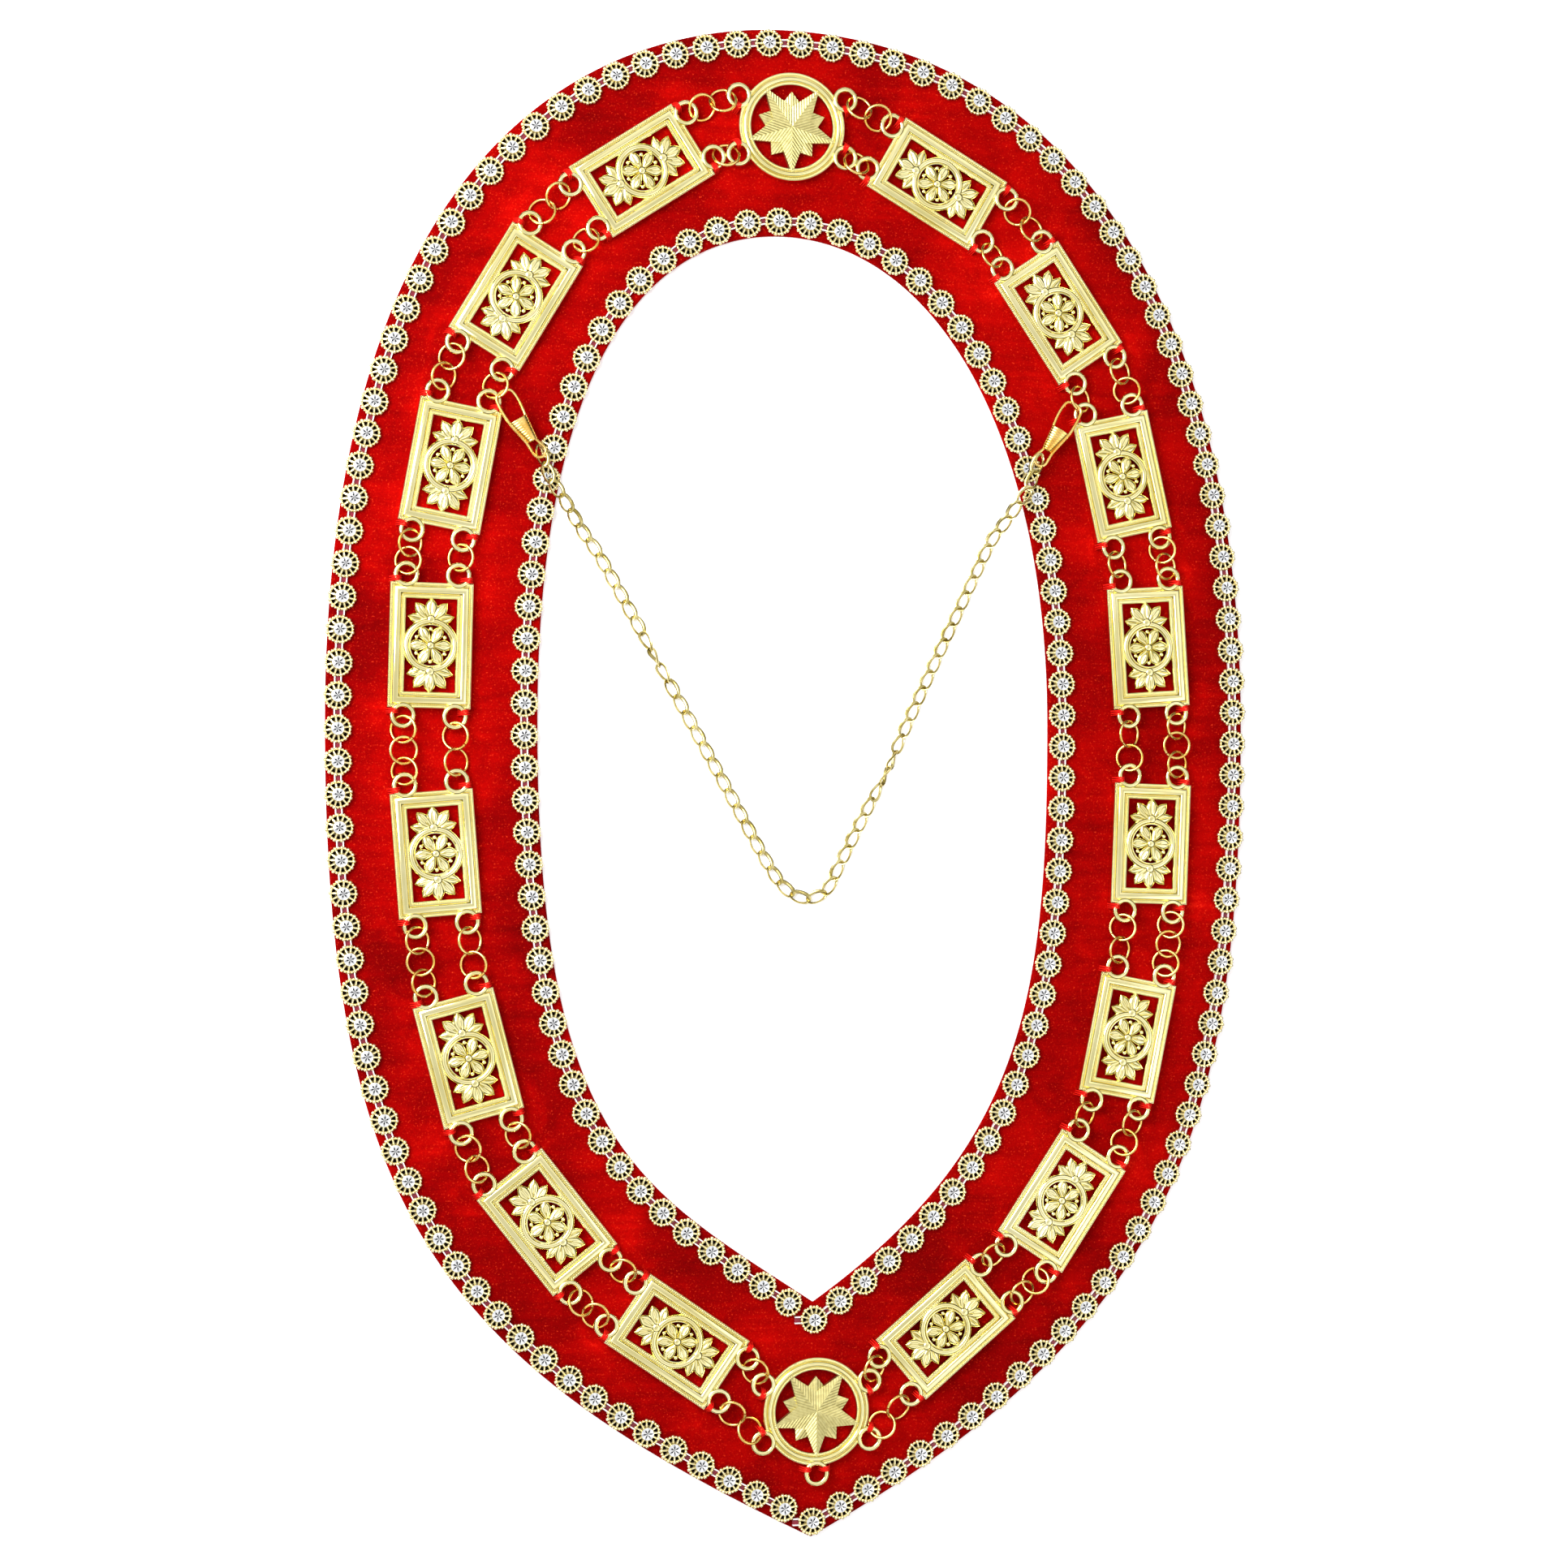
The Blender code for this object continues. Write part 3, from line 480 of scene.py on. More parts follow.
def joined(meshes):
    """One mesh from several, each left as it is."""
    maker = bmesh.new()
    for mesh in meshes:
        maker.from_mesh(mesh)
    whole = bpy.data.meshes.new("joined")
    maker.to_mesh(whole)
    maker.free()
    return whole


def turns(count):
    """Even turns round a circle, in radians."""
    return [tau * k / count for k in range(count)]


def oval(centre, first, wide, second, thick, count):
    """Points round an ellipse, given by two directions and its reach along each."""
    return [centre + first * (wide * cos(turn)) + second * (thick * sin(turn))
            for turn in turns(count)]


def bead(name, along_rim, across, rise):
    """One pearl of a beaded rim: a low six-sided dome that its shading rounds off."""
    sections = [[(along_rim * reach * cos(turn), across * reach * sin(turn), rise * lift)
                 for turn in turns(6)] for reach, lift in ((1.0, -0.2), (0.62, 1.0))]
    return add_piece(name, skinned(sections, closed=False, sharp=85.0))


def rim_beads(rim, length):
    return along(rim, rim_bead, round(length / BEAD_PITCH), gilt_material)


def rectangle(inset, height):
    x, y = PLAQUE_WIDTH / 2 - inset * MM, PLAQUE_LENGTH / 2 - inset * MM
    return [(side_x * x, side_y * y, height * MM)
            for side_x, side_y in ((1, 1), (-1, 1), (-1, -1), (1, -1))]


def hoop(centre, radius, wire, angles):
    """Cross-sections of a round wire bent into a level hoop."""
    return [[centre + polar(radius + wire / 2 * cos(face), angle, wire / 2 * sin(face))
             for face in turns(8)] for angle in angles]


def lug(maker, centre):
    """A round eye of wire section, cast on to the edge."""
    loft(maker, hoop(centre, LUG_RADIUS, LUG_WIRE, turns(28)), closed=True)


def leaf(maker, root, heading, length, width, foot, bluntness, crest=MOTIF_TOP):
    """A full, softly domed leaf with a vein down its middle: narrow foot, round tip."""
    ahead = Vector((sin(heading), cos(heading), 0))
    aside = Vector((ahead.y, -ahead.x, 0))
    sections = []
    for step in range(LEAF_STATIONS):
        share = step / (LEAF_STATIONS - 1)
        swell = max(0.10, sin(pi * min(1.0, share ** bluntness)) ** 0.75)
        half = width / 2 * (foot * (1 - share) + (1 - foot * (1 - share)) * swell)
        spot = root + ahead * (length * share)
        top = crest - LEAF_DIP * (2 * share - 0.9) ** 2
        profile = [(x, top - drop * MM) for x, drop in LEAF_SECTION]
        profile = [(-1.0, MOTIF_BASE), *profile, (1.0, MOTIF_BASE)]
        sections.append([(*(spot + aside * (half * x)).xy, z) for x, z in profile])
    loft(maker, sections, closed=False)


def dome(maker, centre, radius, height, rings=5, segments=20):
    """A low round boss with an upright foot."""
    levels = [(radius, MOTIF_BASE)]
    for turn in (pi / 2 * ring / rings for ring in range(rings)):
        levels.append((radius * cos(turn), height - radius * 0.6 * (1 - sin(turn))))
    loft(maker, [[(centre.x + reach * cos(turn), centre.y + reach * sin(turn), level)
                  for turn in turns(segments)] for reach, level in levels], closed=False)


def motif(maker):
    """The openwork: a broad ring that holds six petals, and a palmette above and below it."""
    middle, half = MOTIF_RING - MOTIF_RING_WIDTH / 2, MOTIF_RING_WIDTH / 2
    profile = [(middle + half * x, MOTIF_TOP + z * MM) for x, z in RING_CROWN]
    profile += [(middle - half, MOTIF_BASE), (middle + half, MOTIF_BASE)]
    loft(maker, [[polar(radius, turn, height) for radius, height in profile]
                 for turn in turns(64)], closed=True)
    centre = Vector((0, 0, 0))
    for petal in range(PETALS):
        heading = tau * (petal + 0.5) / PETALS
        leaf(maker, centre, heading, PETAL_LENGTH, PETAL_WIDTH, 0.12, 1.6)
    dome(maker, centre, BOSS_RADIUS, MOTIF_TOP + 0.35 * MM)
    for turn in turns(PETALS):
        dome(maker, polar(PIP_CIRCLE, turn + pi / 2), PIP_RADIUS, MOTIF_TOP - 0.5 * MM,
             3, 10)
    for end in (1, -1):
        foot = Vector((0, end * PALMETTE_FOOT, 0))
        for lean, length, width, drop in PALMETTE_LEAVES:
            heading = radians(lean) if end > 0 else pi - radians(lean)
            leaf(maker, foot, heading, length * MM, width * MM, 0.3, 1.5, MOTIF_TOP - drop * MM)
        dome(maker, foot + Vector((0, end * 1.0 * MM, 0)), PALMETTE_BOSS_RADIUS,
             MOTIF_TOP + 0.3 * MM)


rim_bead = bead("rim_bead", BEAD_ALONG, BEAD_ACROSS, BEAD_RISE)
parts = [skinned(zip(*(rectangle(*spot) for spot in RAIL_SECTION)), closed=True, sharp=40.0)]
maker = bmesh.new()
motif(maker)
parts.append(finished_mesh(maker, 45.0, merge=False))
maker = bmesh.new()
for end, side in CORNERS:
    lug(maker, plaque_lug_spot(end, side))
parts.append(finished_mesh(maker, 60.0))
for inset, height in RAIL_BEADS:
    length = 2 * (PLAQUE_WIDTH + PLAQUE_LENGTH - 4 * (inset * MM))
    parts.append(rim_beads(rectangle(inset, height), length))
plaque_mesh = joined(parts)
for node in PLACES:
    if node.startswith("plaque"):
        mesh = plaque_mesh.copy()
        mesh.transform(place_matrix(node))
        plaque = add_piece(node + "_casting", mesh, gilt_material)
        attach(plaque, "root")
        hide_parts(node)


# Medallions
# Two round castings of the same plated zinc: a smooth rail between two beaded rims, and a
# ten-point star whose long points are cut like feathers and whose short ones are fluted.

RIM_SECTION = ((0.0, 0.0), (0.0, 3.1), (0.12, 3.25), (1.05, 3.25), (1.15, 2.8), (1.3, 2.75),
               (1.4, 3.1), (1.6, 3.5), (1.95, 3.83), (2.4, 3.98), (2.85, 3.88), (3.2, 3.55),
               (3.4, 3.1), (3.48, 2.8), (3.6, 2.8), (3.68, 3.15), (4.5, 3.15), (4.6, 3.0),
               (4.6, 0.0))
RIM_BEADS = ((0.58, 3.27), (4.08, 3.17))
STAR_REACH, STAR_NOTCH = 17.4 * MM, 7.4 * MM
STAR_HEART_TOP, STAR_NOTCH_TOP, STAR_TIP_TOP = 3.72 * MM, 3.2 * MM, 3.35 * MM
SHORT_POINT_HEEL, SHORT_POINT_SHOULDER, SHORT_POINT_REACH = 6.66 * MM, 9.7 * MM, 13.0 * MM
SHORT_HEEL_TOP, SHORT_TIP_TOP, SHORT_SHOULDER_TOP = 3.0 * MM, 2.75 * MM, 2.45 * MM
# The real grooves are about 0.75 mm apart, and are drawn coarser to show
STAR_GROOVE, STAR_GROOVE_DEPTH = 0.96 * MM, 0.09 * MM


def slice_polygon(polygon, way, low, high):
    """The part of a flat polygon between two levels measured along a direction."""
    for level, keep in ((low, 1), (high, -1)):
        kept = []
        for k, here in enumerate(polygon):
            there = polygon[(k + 1) % len(polygon)]
            a, b = keep * (here.dot(way) - level), keep * (there.dot(way) - level)
            if a >= -1e-9:
                kept.append(here)
            if (a > 1e-9 and b < -1e-9) or (a < -1e-9 and b > 1e-9):
                kept.append(here.lerp(there, a / (a - b)))
        polygon = kept
        if len(polygon) < 3:
            return []
    return polygon


def fluted_facet(maker, centre, first, second, side, way):
    """A facet cut into V grooves that run across a direction."""
    corners = (centre, first, second) if side > 0 else (centre, second, first)
    half = STAR_GROOVE / 2
    levels = [corner.dot(way) for corner in corners]
    for level in range(floor(min(levels) / half), ceil(max(levels) / half)):
        spots = []
        for point in slice_polygon(list(corners), way, level * half, (level + 1) * half):
            nearest = round(point.dot(way) / half)
            on_level = abs(point.dot(way) - nearest * half) < 1e-7
            lift = STAR_GROOVE_DEPTH * (1 if nearest % 2 else -1) if on_level else 0.0
            spots.append(maker.verts.new(point + Vector((0, 0, lift))))
        if len(spots) >= 3:
            maker.faces.new(spots)


def walled(maker):
    """Give a relief its upright walls and a flat back."""
    bmesh.ops.remove_doubles(maker, verts=maker.verts, dist=2e-6)
    rim = [edge for edge in maker.edges if len(edge.link_faces) == 1]
    walls = bmesh.ops.extrude_edge_only(maker, edges=rim)["geom"]
    for vertex in (item for item in walls if isinstance(item, bmesh.types.BMVert)):
        vertex.co.z = MOTIF_BASE
    lower = [item for item in walls if isinstance(item, bmesh.types.BMEdge)]
    bmesh.ops.contextual_create(maker, geom=[e for e in lower if len(e.link_faces) == 1])
    return finished_mesh(maker, 12.0)


def star_body():
    """Five long ridged points. Every groove runs along the notch between two of them."""
    maker = bmesh.new()
    middle = Vector((0, 0, STAR_HEART_TOP))
    for k in range(5):
        notch_angle = -pi / 2 + pi / 5 + k * tau / 5
        notch = polar(STAR_NOTCH, notch_angle, STAR_NOTCH_TOP)
        way = polar(1.0, notch_angle + pi / 2)
        for side in (1, -1):
            tip = polar(STAR_REACH, notch_angle + side * pi / 5, STAR_TIP_TOP)
            fluted_facet(maker, middle, notch, tip, side, way)
    return walled(maker)


def short_point(angle):
    """The end of a short point, lower than the star's body and grooved along its length."""
    maker = bmesh.new()
    way = polar(1.0, angle + pi / 2)
    heel = polar(SHORT_POINT_HEEL, angle, SHORT_HEEL_TOP)
    tip = polar(SHORT_POINT_REACH, angle, SHORT_TIP_TOP)
    for side in (1, -1):
        shoulder = polar(SHORT_POINT_SHOULDER, angle + side * pi / 10, SHORT_SHOULDER_TOP)
        fluted_facet(maker, heel, tip, shoulder, side, way)
    return walled(maker)


def circle(radius, height, count):
    return [polar(radius, turn, height) for turn in turns(count)]


# The same plated casting where it is fluted: fine tool lines in the die, in marks of 1.7 mm,
# leave it satin, so the star stays an even gold instead of flashing from facet to facet. Its gold
# is also painted darker than the plating elsewhere: painted shade that tones down the star.
star_satin_and_shade_material = mottled_finish(
    "fluted_gilt_painted_shade", 1.667, ("#C0B474", "#D8CE8E"), {"Metallic": 1.0, "Roughness": 0.42},
    span=(0.30, 0.70), roughness=0.6)


def medallion_mesh(with_jewel_ring):
    """A medallion's mesh, and how many of its first faces are the star's."""
    parts = [star_body()]
    parts += [short_point(-pi / 2 + (k + 0.5) * tau / 5) for k in range(5)]
    star_faces = sum(len(part.polygons) for part in parts)
    parts.append(skinned([
        [polar(MEDALLION_RADIUS - inset * MM, turn, height * MM) for inset, height in RIM_SECTION]
        for turn in turns(96)], closed=True, sharp=40.0))
    lug_angles = [medallion_lug_angle(*corner) for corner in CORNERS]
    if with_jewel_ring:
        lug_angles.append(-pi / 2)
    maker = bmesh.new()
    for angle in lug_angles:
        lug(maker, medallion_lug_spot(angle))
    parts.append(finished_mesh(maker, 60.0))
    for inset, height in RIM_BEADS:
        radius = MEDALLION_RADIUS - inset * MM
        parts.append(rim_beads(circle(radius, height * MM, 120), tau * radius))
    return joined(parts), star_faces


for node, with_jewel_ring in (("medallion_back", False), ("medallion_front", True)):
    mesh, fluted_faces = medallion_mesh(with_jewel_ring)
    mesh.transform(place_matrix(node))
    medallion = add_piece(node + "_casting", mesh, gilt_material)
    mesh.materials.append(star_satin_and_shade_material)
    for polygon in mesh.polygons[:fluted_faces]:
        polygon.material_index = 1
    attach(medallion, "root")
    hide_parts(node)
bpy.data.objects.remove(rim_bead)


# Jump rings
# Plain split rings wound from gold-plated brass wire, a warmer gold than the castings. Two rows
# of them link each casting to the next, one to three rings to a row.

RING_RADIUS, RING_WIRE, RING_DROP = 4.85 * MM, 1.15 * MM, 2.65 * MM
RING_CUT, RING_CUT_ANGLE, RING_STEPS = 0.07, 0.9, 30
RINGS_OUTER = (2, 2, 2, 2, 3, 3, 2, 2, 2)
RINGS_INNER = (1, 1, 1, 1, 2, 2, 1, 1, 1)
# For two and three rings to a row: each one's roll in degrees, and how far the first and last
# stand from the lugs, as a share of the gap
ROW_ROLLS, ROW_SHARE = {2: (30, -27), 3: (30, -6, 28)}, {2: 0.30, 3: 0.20}
ROW_REACH = 6.9 * MM

# Items set one on each given point, turned as that point's own attribute says
place_items, given = node_tree("items_on_points", {
    "Points": "Object", "Item": "Object", "Finish": "Material"})
points_info = add_node(place_items, "GeometryNodeObjectInfo", {"Object": given["Points"]})
turn_attribute = add_node(place_items, "GeometryNodeInputNamedAttribute", {
    "Name": "turn"}, data_type="FLOAT_VECTOR")
turn_rotation = add_node(place_items, "FunctionNodeEulerToRotation", {0: turn_attribute})
plant_items(place_items, given, points_info.outputs["Geometry"], turn_rotation)


def scattered(spots, item, material):
    """Copies of an item at given places, each place a matrix, as one plain mesh."""
    cloud = bpy.data.meshes.new("points")
    cloud.from_pydata([spot.to_translation() for spot in spots], [], [])
    facings = cloud.attributes.new("turn", "FLOAT_VECTOR", "POINT")
    for k, spot in enumerate(spots):
        facings.data[k].vector = spot.to_euler()
    points = add_piece("points", cloud)
    mesh = grown(place_items, Points=points, Item=item, Finish=material)
    bpy.data.objects.remove(points)
    return mesh


def row_ends(half, outward):
    """The two lugs that each space of one row lies between, from the nape to the front."""
    side = -1 if half == "left" else 1
    names = [f"plaque_{half}_{number}" for number in range(1, 9)]
    tops = [plaque_lug(name, 1, side * outward) for name in names]
    feet = [plaque_lug(name, -1, side * outward) for name in names]
    return list(zip([medallion_lug("medallion_back", side, outward), *feet],
                    [*tops, medallion_lug("medallion_front", side, -outward)]))


def facing_place(spot, ahead, across):
    """A place at a spot whose first axis points ahead and whose second one across."""
    turned = Matrix((ahead, across, ahead.cross(across))).transposed().to_4x4()
    return Matrix.Translation(spot) @ turned


def ring_place(start, end, share, side, roll):
    """A ring's place: its plane holds the row's line and rolls about it by so many radians."""
    ahead = (end - start).normalized()
    level = Vector((ahead.y, -ahead.x, 0))
    if level.x * side > 0:
        level = -level
    across = level * cos(roll) + Vector((0, 0, sin(roll)))
    return facing_place(start.lerp(end, share), ahead, across)


def row_places(start, end, count, side, number):
    if count == 1:
        return [ring_place(start, end, 0.5, side, asin(RING_DROP / RING_RADIUS))]
    gap = (end - start).length
    reach = min(ROW_REACH, gap * ROW_SHARE[count])
    shares = [reach / gap, *[0.5] * (count - 2), 1 - reach / gap]
    flip = 1 if number % 2 else -1
    return [ring_place(start, end, share, side, radians(flip * roll))
            for share, roll in zip(shares, ROW_ROLLS[count])]


def jump_ring():
    """One open ring: wire bent round until its two cut ends nearly meet."""
    angles = [RING_CUT_ANGLE + RING_CUT / 2 + (tau - RING_CUT) * step / RING_STEPS
              for step in range(RING_STEPS + 1)]
    sections = hoop(Vector((0, 0, 0)), RING_RADIUS, RING_WIRE, angles)
    return add_piece("jump_ring", skinned(sections, closed=False, sharp=60.0))


# Gold-plated brass wire: drawn, so it is smooth and mirror-like, and its plating is thicker and
# more orange than that of the castings, worn paler in patches of 6 mm.
wire_material = mottled_finish(
    "gilt_brass_wire", 6.25, ("#E4B050", "#F8DC8C"), {"Metallic": 1.0, "Roughness": 0.22},
    span=(0.35, 0.65), detail=3.0, roughness=0.6)

ring_item = jump_ring()
for half, side in (("left", -1), ("right", 1)):
    for row, outward, counts in (("outer", 1, RINGS_OUTER), ("inner", -1, RINGS_INNER)):
        for number, ((start, end), count) in enumerate(zip(row_ends(half, outward), counts), 1):
            kind = f"jump_ring_{half}_" if count == 1 else f"ring_row_{half}_{row}_"
            spots = row_places(start, end, count, side, number)
            rings = add_piece(f"{kind}{number}_wire", scattered(spots, ring_item, wire_material))
            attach(rings, "root")
            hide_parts(f"{kind}{number}")
bpy.data.objects.remove(ring_item)


# Stitches
# Red sewing thread passed several times through the velvet and over the root of each lug, on
# the side towards the casting's corner. It holds the castings down.

THREAD, STRANDS = 0.4 * MM, 5


def stitch():
    """A few strands side by side, each an arch over the lug's wire."""
    maker = bmesh.new()
    half, top = LUG_WIRE / 2 + THREAD * 0.55, LUG_WIRE / 2 + THREAD * 0.5
    foot = -(CASTING_BASE + LUG_HEIGHT - VELVET_TOP + DIMPLE_DEPTH)
    climb = ((1.9, foot), (1.6, foot * 0.5), (1.2, -0.1 * MM), (0.7, top * 0.75))
    arch = ([(-half * x, z) for x, z in climb] + [(0.0, top)]
            + [(half * x, z) for x, z in reversed(climb)])
    for strand in range(STRANDS):
        along_wire = (strand - (STRANDS - 1) / 2) * THREAD * 1.02
        sway = THREAD * 0.35 * (-1) ** strand
        sections = []
        for k, (across, height) in enumerate(arch):
            before, after = arch[max(k - 1, 0)], arch[min(k + 1, 8)]
            ahead = Vector((after[0] - before[0], 0, after[1] - before[1])).normalized()
            out = Vector((-ahead.z, 0, ahead.x))
            centre = Vector((across, along_wire + sway * (k - 4) / 4, height))
            sections.append(oval(centre, out, THREAD / 2, Vector((0, 1, 0)), THREAD / 2, 6))
        loft(maker, sections, closed=False)
    return add_piece("stitch", finished_mesh(maker, 60.0, merge=False))


# Polyester sewing thread: matt, dyed to the velvet, with the twist painted on as fine lighter
# streaks, drawn coarser than the real 0.3 mm: painted highlights on its plies.
thread_material, tree = new_material("red_sewing_thread")
coordinates = add_node(tree, "ShaderNodeTexCoord").outputs["Object"]
painted_twist_highlights = add_node(tree, "ShaderNodeTexWave", {
    "Vector": coordinates, "Scale": 900.0, "Distortion": 1.5}, bands_direction="DIAGONAL")
dye_and_painted_highlights = add_node(tree, "ShaderNodeValToRGB", {"Fac": painted_twist_highlights.outputs["Fac"]})
dye_and_painted_highlights.color_ramp.elements[0].color = linear("#C00402")
dye_and_painted_highlights.color_ramp.elements[1].color = linear("#EC1C0C")
shader = add_node(tree, "ShaderNodeBsdfPrincipled", {
    "Base Color": dye_and_painted_highlights, "Roughness": 0.75, "Specular IOR Level": 0.15})
add_node(tree, "ShaderNodeOutputMaterial", {"Surface": shader})

stitch_item = stitch()
stitches = add_piece("lug_stitches", scattered(stitch_places, stitch_item, thread_material))
bpy.data.objects.remove(stitch_item)
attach(stitches, "root")


# Rhinestone bands
# Strings of moulded flower settings in gold-coloured plastic foil, each with a foiled glass
# stone, joined by two thin clear bars. One string is glued round each edge of the velvet.

SPOKES = 12
BAND_BASE = 2.8 * MM
FOOT_RADIUS, RIM_RADIUS, RIM_TOP = 4.65 * MM, 4.75 * MM, 1.15 * MM
LIP_RADIUS, LIP_TOP = 2.42 * MM, 2.75 * MM
POCKET_FAR, POCKET_NEAR, POCKET_NEAR_TOP = 4.32 * MM, 2.62 * MM, 1.6 * MM
POCKET_FLOOR, POCKET_FLOOR_TOP = 3.45 * MM, 0.1 * MM
POCKET_FAR_HALF, POCKET_NEAR_HALF = radians(11.6), radians(10.0)
BEAD_CIRCLE, BEAD_CIRCLE_TOP = 4.65 * MM, 1.12 * MM
KNOB_RADIUS, KNOB_RISE = 0.8 * MM, 0.7 * MM
SMALL_BEAD_RADIUS, SMALL_BEAD_RISE = 0.52 * MM, 0.48 * MM
STONE_RADIUS, TABLE_RADIUS, STROKE_RADIUS = 2.3 * MM, 1.5 * MM, 0.95 * MM
STROKE_FLOOR, GIRDLE_TOP, TABLE_TOP, HEART_TOP = 2.6 * MM, 2.76 * MM, 3.0 * MM, 3.14 * MM
STROKE_HALF, STROKE_REACH, STROKE_TILT = 0.25, 1.4 * MM, 0.93
# How bright the facets of the strokes and the others are painted, each in turn: painted
# reflections
STROKE_GLINTS, OTHER_GLINTS = (0.0, 0.15), (1.0, 0.75, 0.95, 0.85)
OUTER_FLOWERS, INNER_FLOWERS = 119, 84
OUTER_INSET_SIDE, OUTER_INSET_END, INNER_INSET = 4.3 * MM, 5.5 * MM, 5.2 * MM
# The clear strip between two flowers: its reach along, and for its ribs and its web where they
# start and end across and how high they are, in millimetres
BRIDGE_REACH, BRIDGE_FOOT = (4.7 * MM, 7.3 * MM), 0.1
RIBS, WEB = ((-1.35, -0.9, 1.3), (0.9, 1.35, 1.3)), ((-0.9, 0.9, 0.5),)


def flower():
    """A round setting: deep pockets between narrow spokes, a flat rim and a raised bezel."""
    maker = bmesh.new()
    lip, rim, foot = (corners_at(maker, circle(radius, height, SPOKES)) for radius, height in (
        (LIP_RADIUS, LIP_TOP), (RIM_RADIUS, RIM_TOP), (FOOT_RADIUS, 0.0)))
    pockets = []
    for k in range(SPOKES):
        middle = tau * (k + 0.5) / SPOKES
        upper = corners_at(maker, (polar(radius, middle + aside, top) for radius, aside, top in (
            (POCKET_FAR, -POCKET_FAR_HALF, RIM_TOP), (POCKET_FAR, POCKET_FAR_HALF, RIM_TOP),
            (POCKET_NEAR, POCKET_NEAR_HALF, POCKET_NEAR_TOP),
            (POCKET_NEAR, -POCKET_NEAR_HALF, POCKET_NEAR_TOP))))
        bottom = maker.verts.new(polar(POCKET_FLOOR, middle, POCKET_FLOOR_TOP))
        for j in range(4):
            maker.faces.new((upper[j], upper[(j + 1) % 4], bottom))
        pockets.append(upper)
    for k in range(SPOKES):
        after = (k + 1) % SPOKES
        far_a, far_b, near_b, near_a = pockets[k]
        next_far, _, _, next_near = pockets[after]
        for corners in ((rim[k], rim[after], far_b, far_a),
                        (far_b, rim[after], next_far, next_near, near_b),
                        (near_a, near_b, lip[after], lip[k]), (near_b, next_near, lip[after]),
                        (rim[k], rim[after], foot[after], foot[k])):
            maker.faces.new(corners)
    maker.faces.new(lip)
    maker.faces.new(foot)
    return add_piece("flower", finished_mesh(maker, 30.0))


def stone():
    """A brilliant seen from above: a table parted by six strokes, and a crown. Painted
    reflections make the table bright and the strokes dark.
    """
    maker = bmesh.new()
    girdle, edges, bottoms = [], [], []
    for angle in turns(6):
        girdle += corners_at(maker, (polar(STONE_RADIUS, angle + aside, GIRDLE_TOP)
                                     for aside in (0, pi / 6)))
        edges.append(corners_at(maker, (polar(TABLE_RADIUS, angle + aside, TABLE_TOP)
                                        for aside in (-STROKE_HALF, STROKE_HALF))))
        bottoms.append(maker.verts.new(polar(STROKE_RADIUS, angle, STROKE_FLOOR)))
    heart = maker.verts.new((0, 0, HEART_TOP))
    for k in range(6):
        after = (k + 1) % 6
        (left, right), there, bottom = edges[k], edges[after][0], bottoms[k]
        corner, mid, last = girdle[2 * k], girdle[2 * k + 1], girdle[2 * after]
        for corners in ((heart, left, bottom), (heart, bottom, right), (heart, right, there),
                        (left, corner, bottom), (bottom, corner, right), (right, corner, mid),
                        (right, mid, there), (there, mid, last)):
            maker.faces.new(corners)
    maker.faces.new(girdle)
    mesh = finished_mesh(maker, 1.0)
    # Painted reflections: each face gets a brightness, dark on the strokes and bright or grey
    # elsewhere in turn.
    painted_glint = mesh.attributes.new("painted_glint", "FLOAT", "FACE")
    for k, face in enumerate(mesh.polygons):
        in_stroke = face.center.xy.length < STROKE_REACH and face.normal.z < STROKE_TILT
        painted_glint.data[k].value = STROKE_GLINTS[k % 2] if in_stroke else OTHER_GLINTS[k % 4]
    return add_piece("stone", mesh)


def bars(name, spans):
    """Square bars that run from one flower's rim to the next."""
    maker = bmesh.new()
    for low, high, top in spans:
        corners = ((low, BRIDGE_FOOT), (low, top), (high, top), (high, BRIDGE_FOOT))
        loft(maker, [[(x, y * MM, z * MM) for y, z in corners] for x in BRIDGE_REACH],
             closed=False)
    return add_piece(name, finished_mesh(maker, 30.0, merge=False))


# Metallised ABS: a thin gold foil over moulded plastic, softer and browner than plated metal,
# with the mould's grain in it, drawn 1.4 mm wide to show. Low down, in the pockets and round the
# foot of each setting, it is painted dark brown: painted shade.
foil_material, tree = new_material("gold_foiled_plastic")
coordinates = add_node(tree, "ShaderNodeTexCoord").outputs["Object"]
grain = add_node(tree, "ShaderNodeTexNoise", {
    "Vector": coordinates, "Scale": 1000 / 1.4286, "Detail": 3.0, "Roughness": 0.6})
# Painted shade: below 3.93 mm over the table the foil fades to dark brown, darkest below 3.65 mm,
# in the pockets and round each setting's foot.
height = add_node(tree, "ShaderNodeSeparateXYZ", {"Vector": coordinates})
depth = add_node(tree, "ShaderNodeMapRange", {
    "Value": height.outputs["Z"], "From Min": 3.65 * MM, "From Max": 3.93 * MM})
foil = add_node(tree, "ShaderNodeValToRGB", {"Fac": grain})
for stop, position, colour in zip(foil.color_ramp.elements, (0.3, 0.7), ("#E8D48C", "#FCF6D0")):
    stop.position, stop.color = position, linear(colour)
foil_with_painted_shade = add_node(tree, "ShaderNodeMix", {
    "Factor": depth, "A": linear("#2A1406"), "B": foil}, data_type="RGBA")
relief = add_node(tree, "ShaderNodeBump", {"Height": grain, "Strength": 0.2, "Distance": 0.0002})
shader = add_node(tree, "ShaderNodeBsdfPrincipled", {
    "Base Color": foil_with_painted_shade.outputs[2], "Metallic": 0.9, "Roughness": 0.3, "Normal": relief})
add_node(tree, "ShaderNodeOutputMaterial", {"Surface": shader})

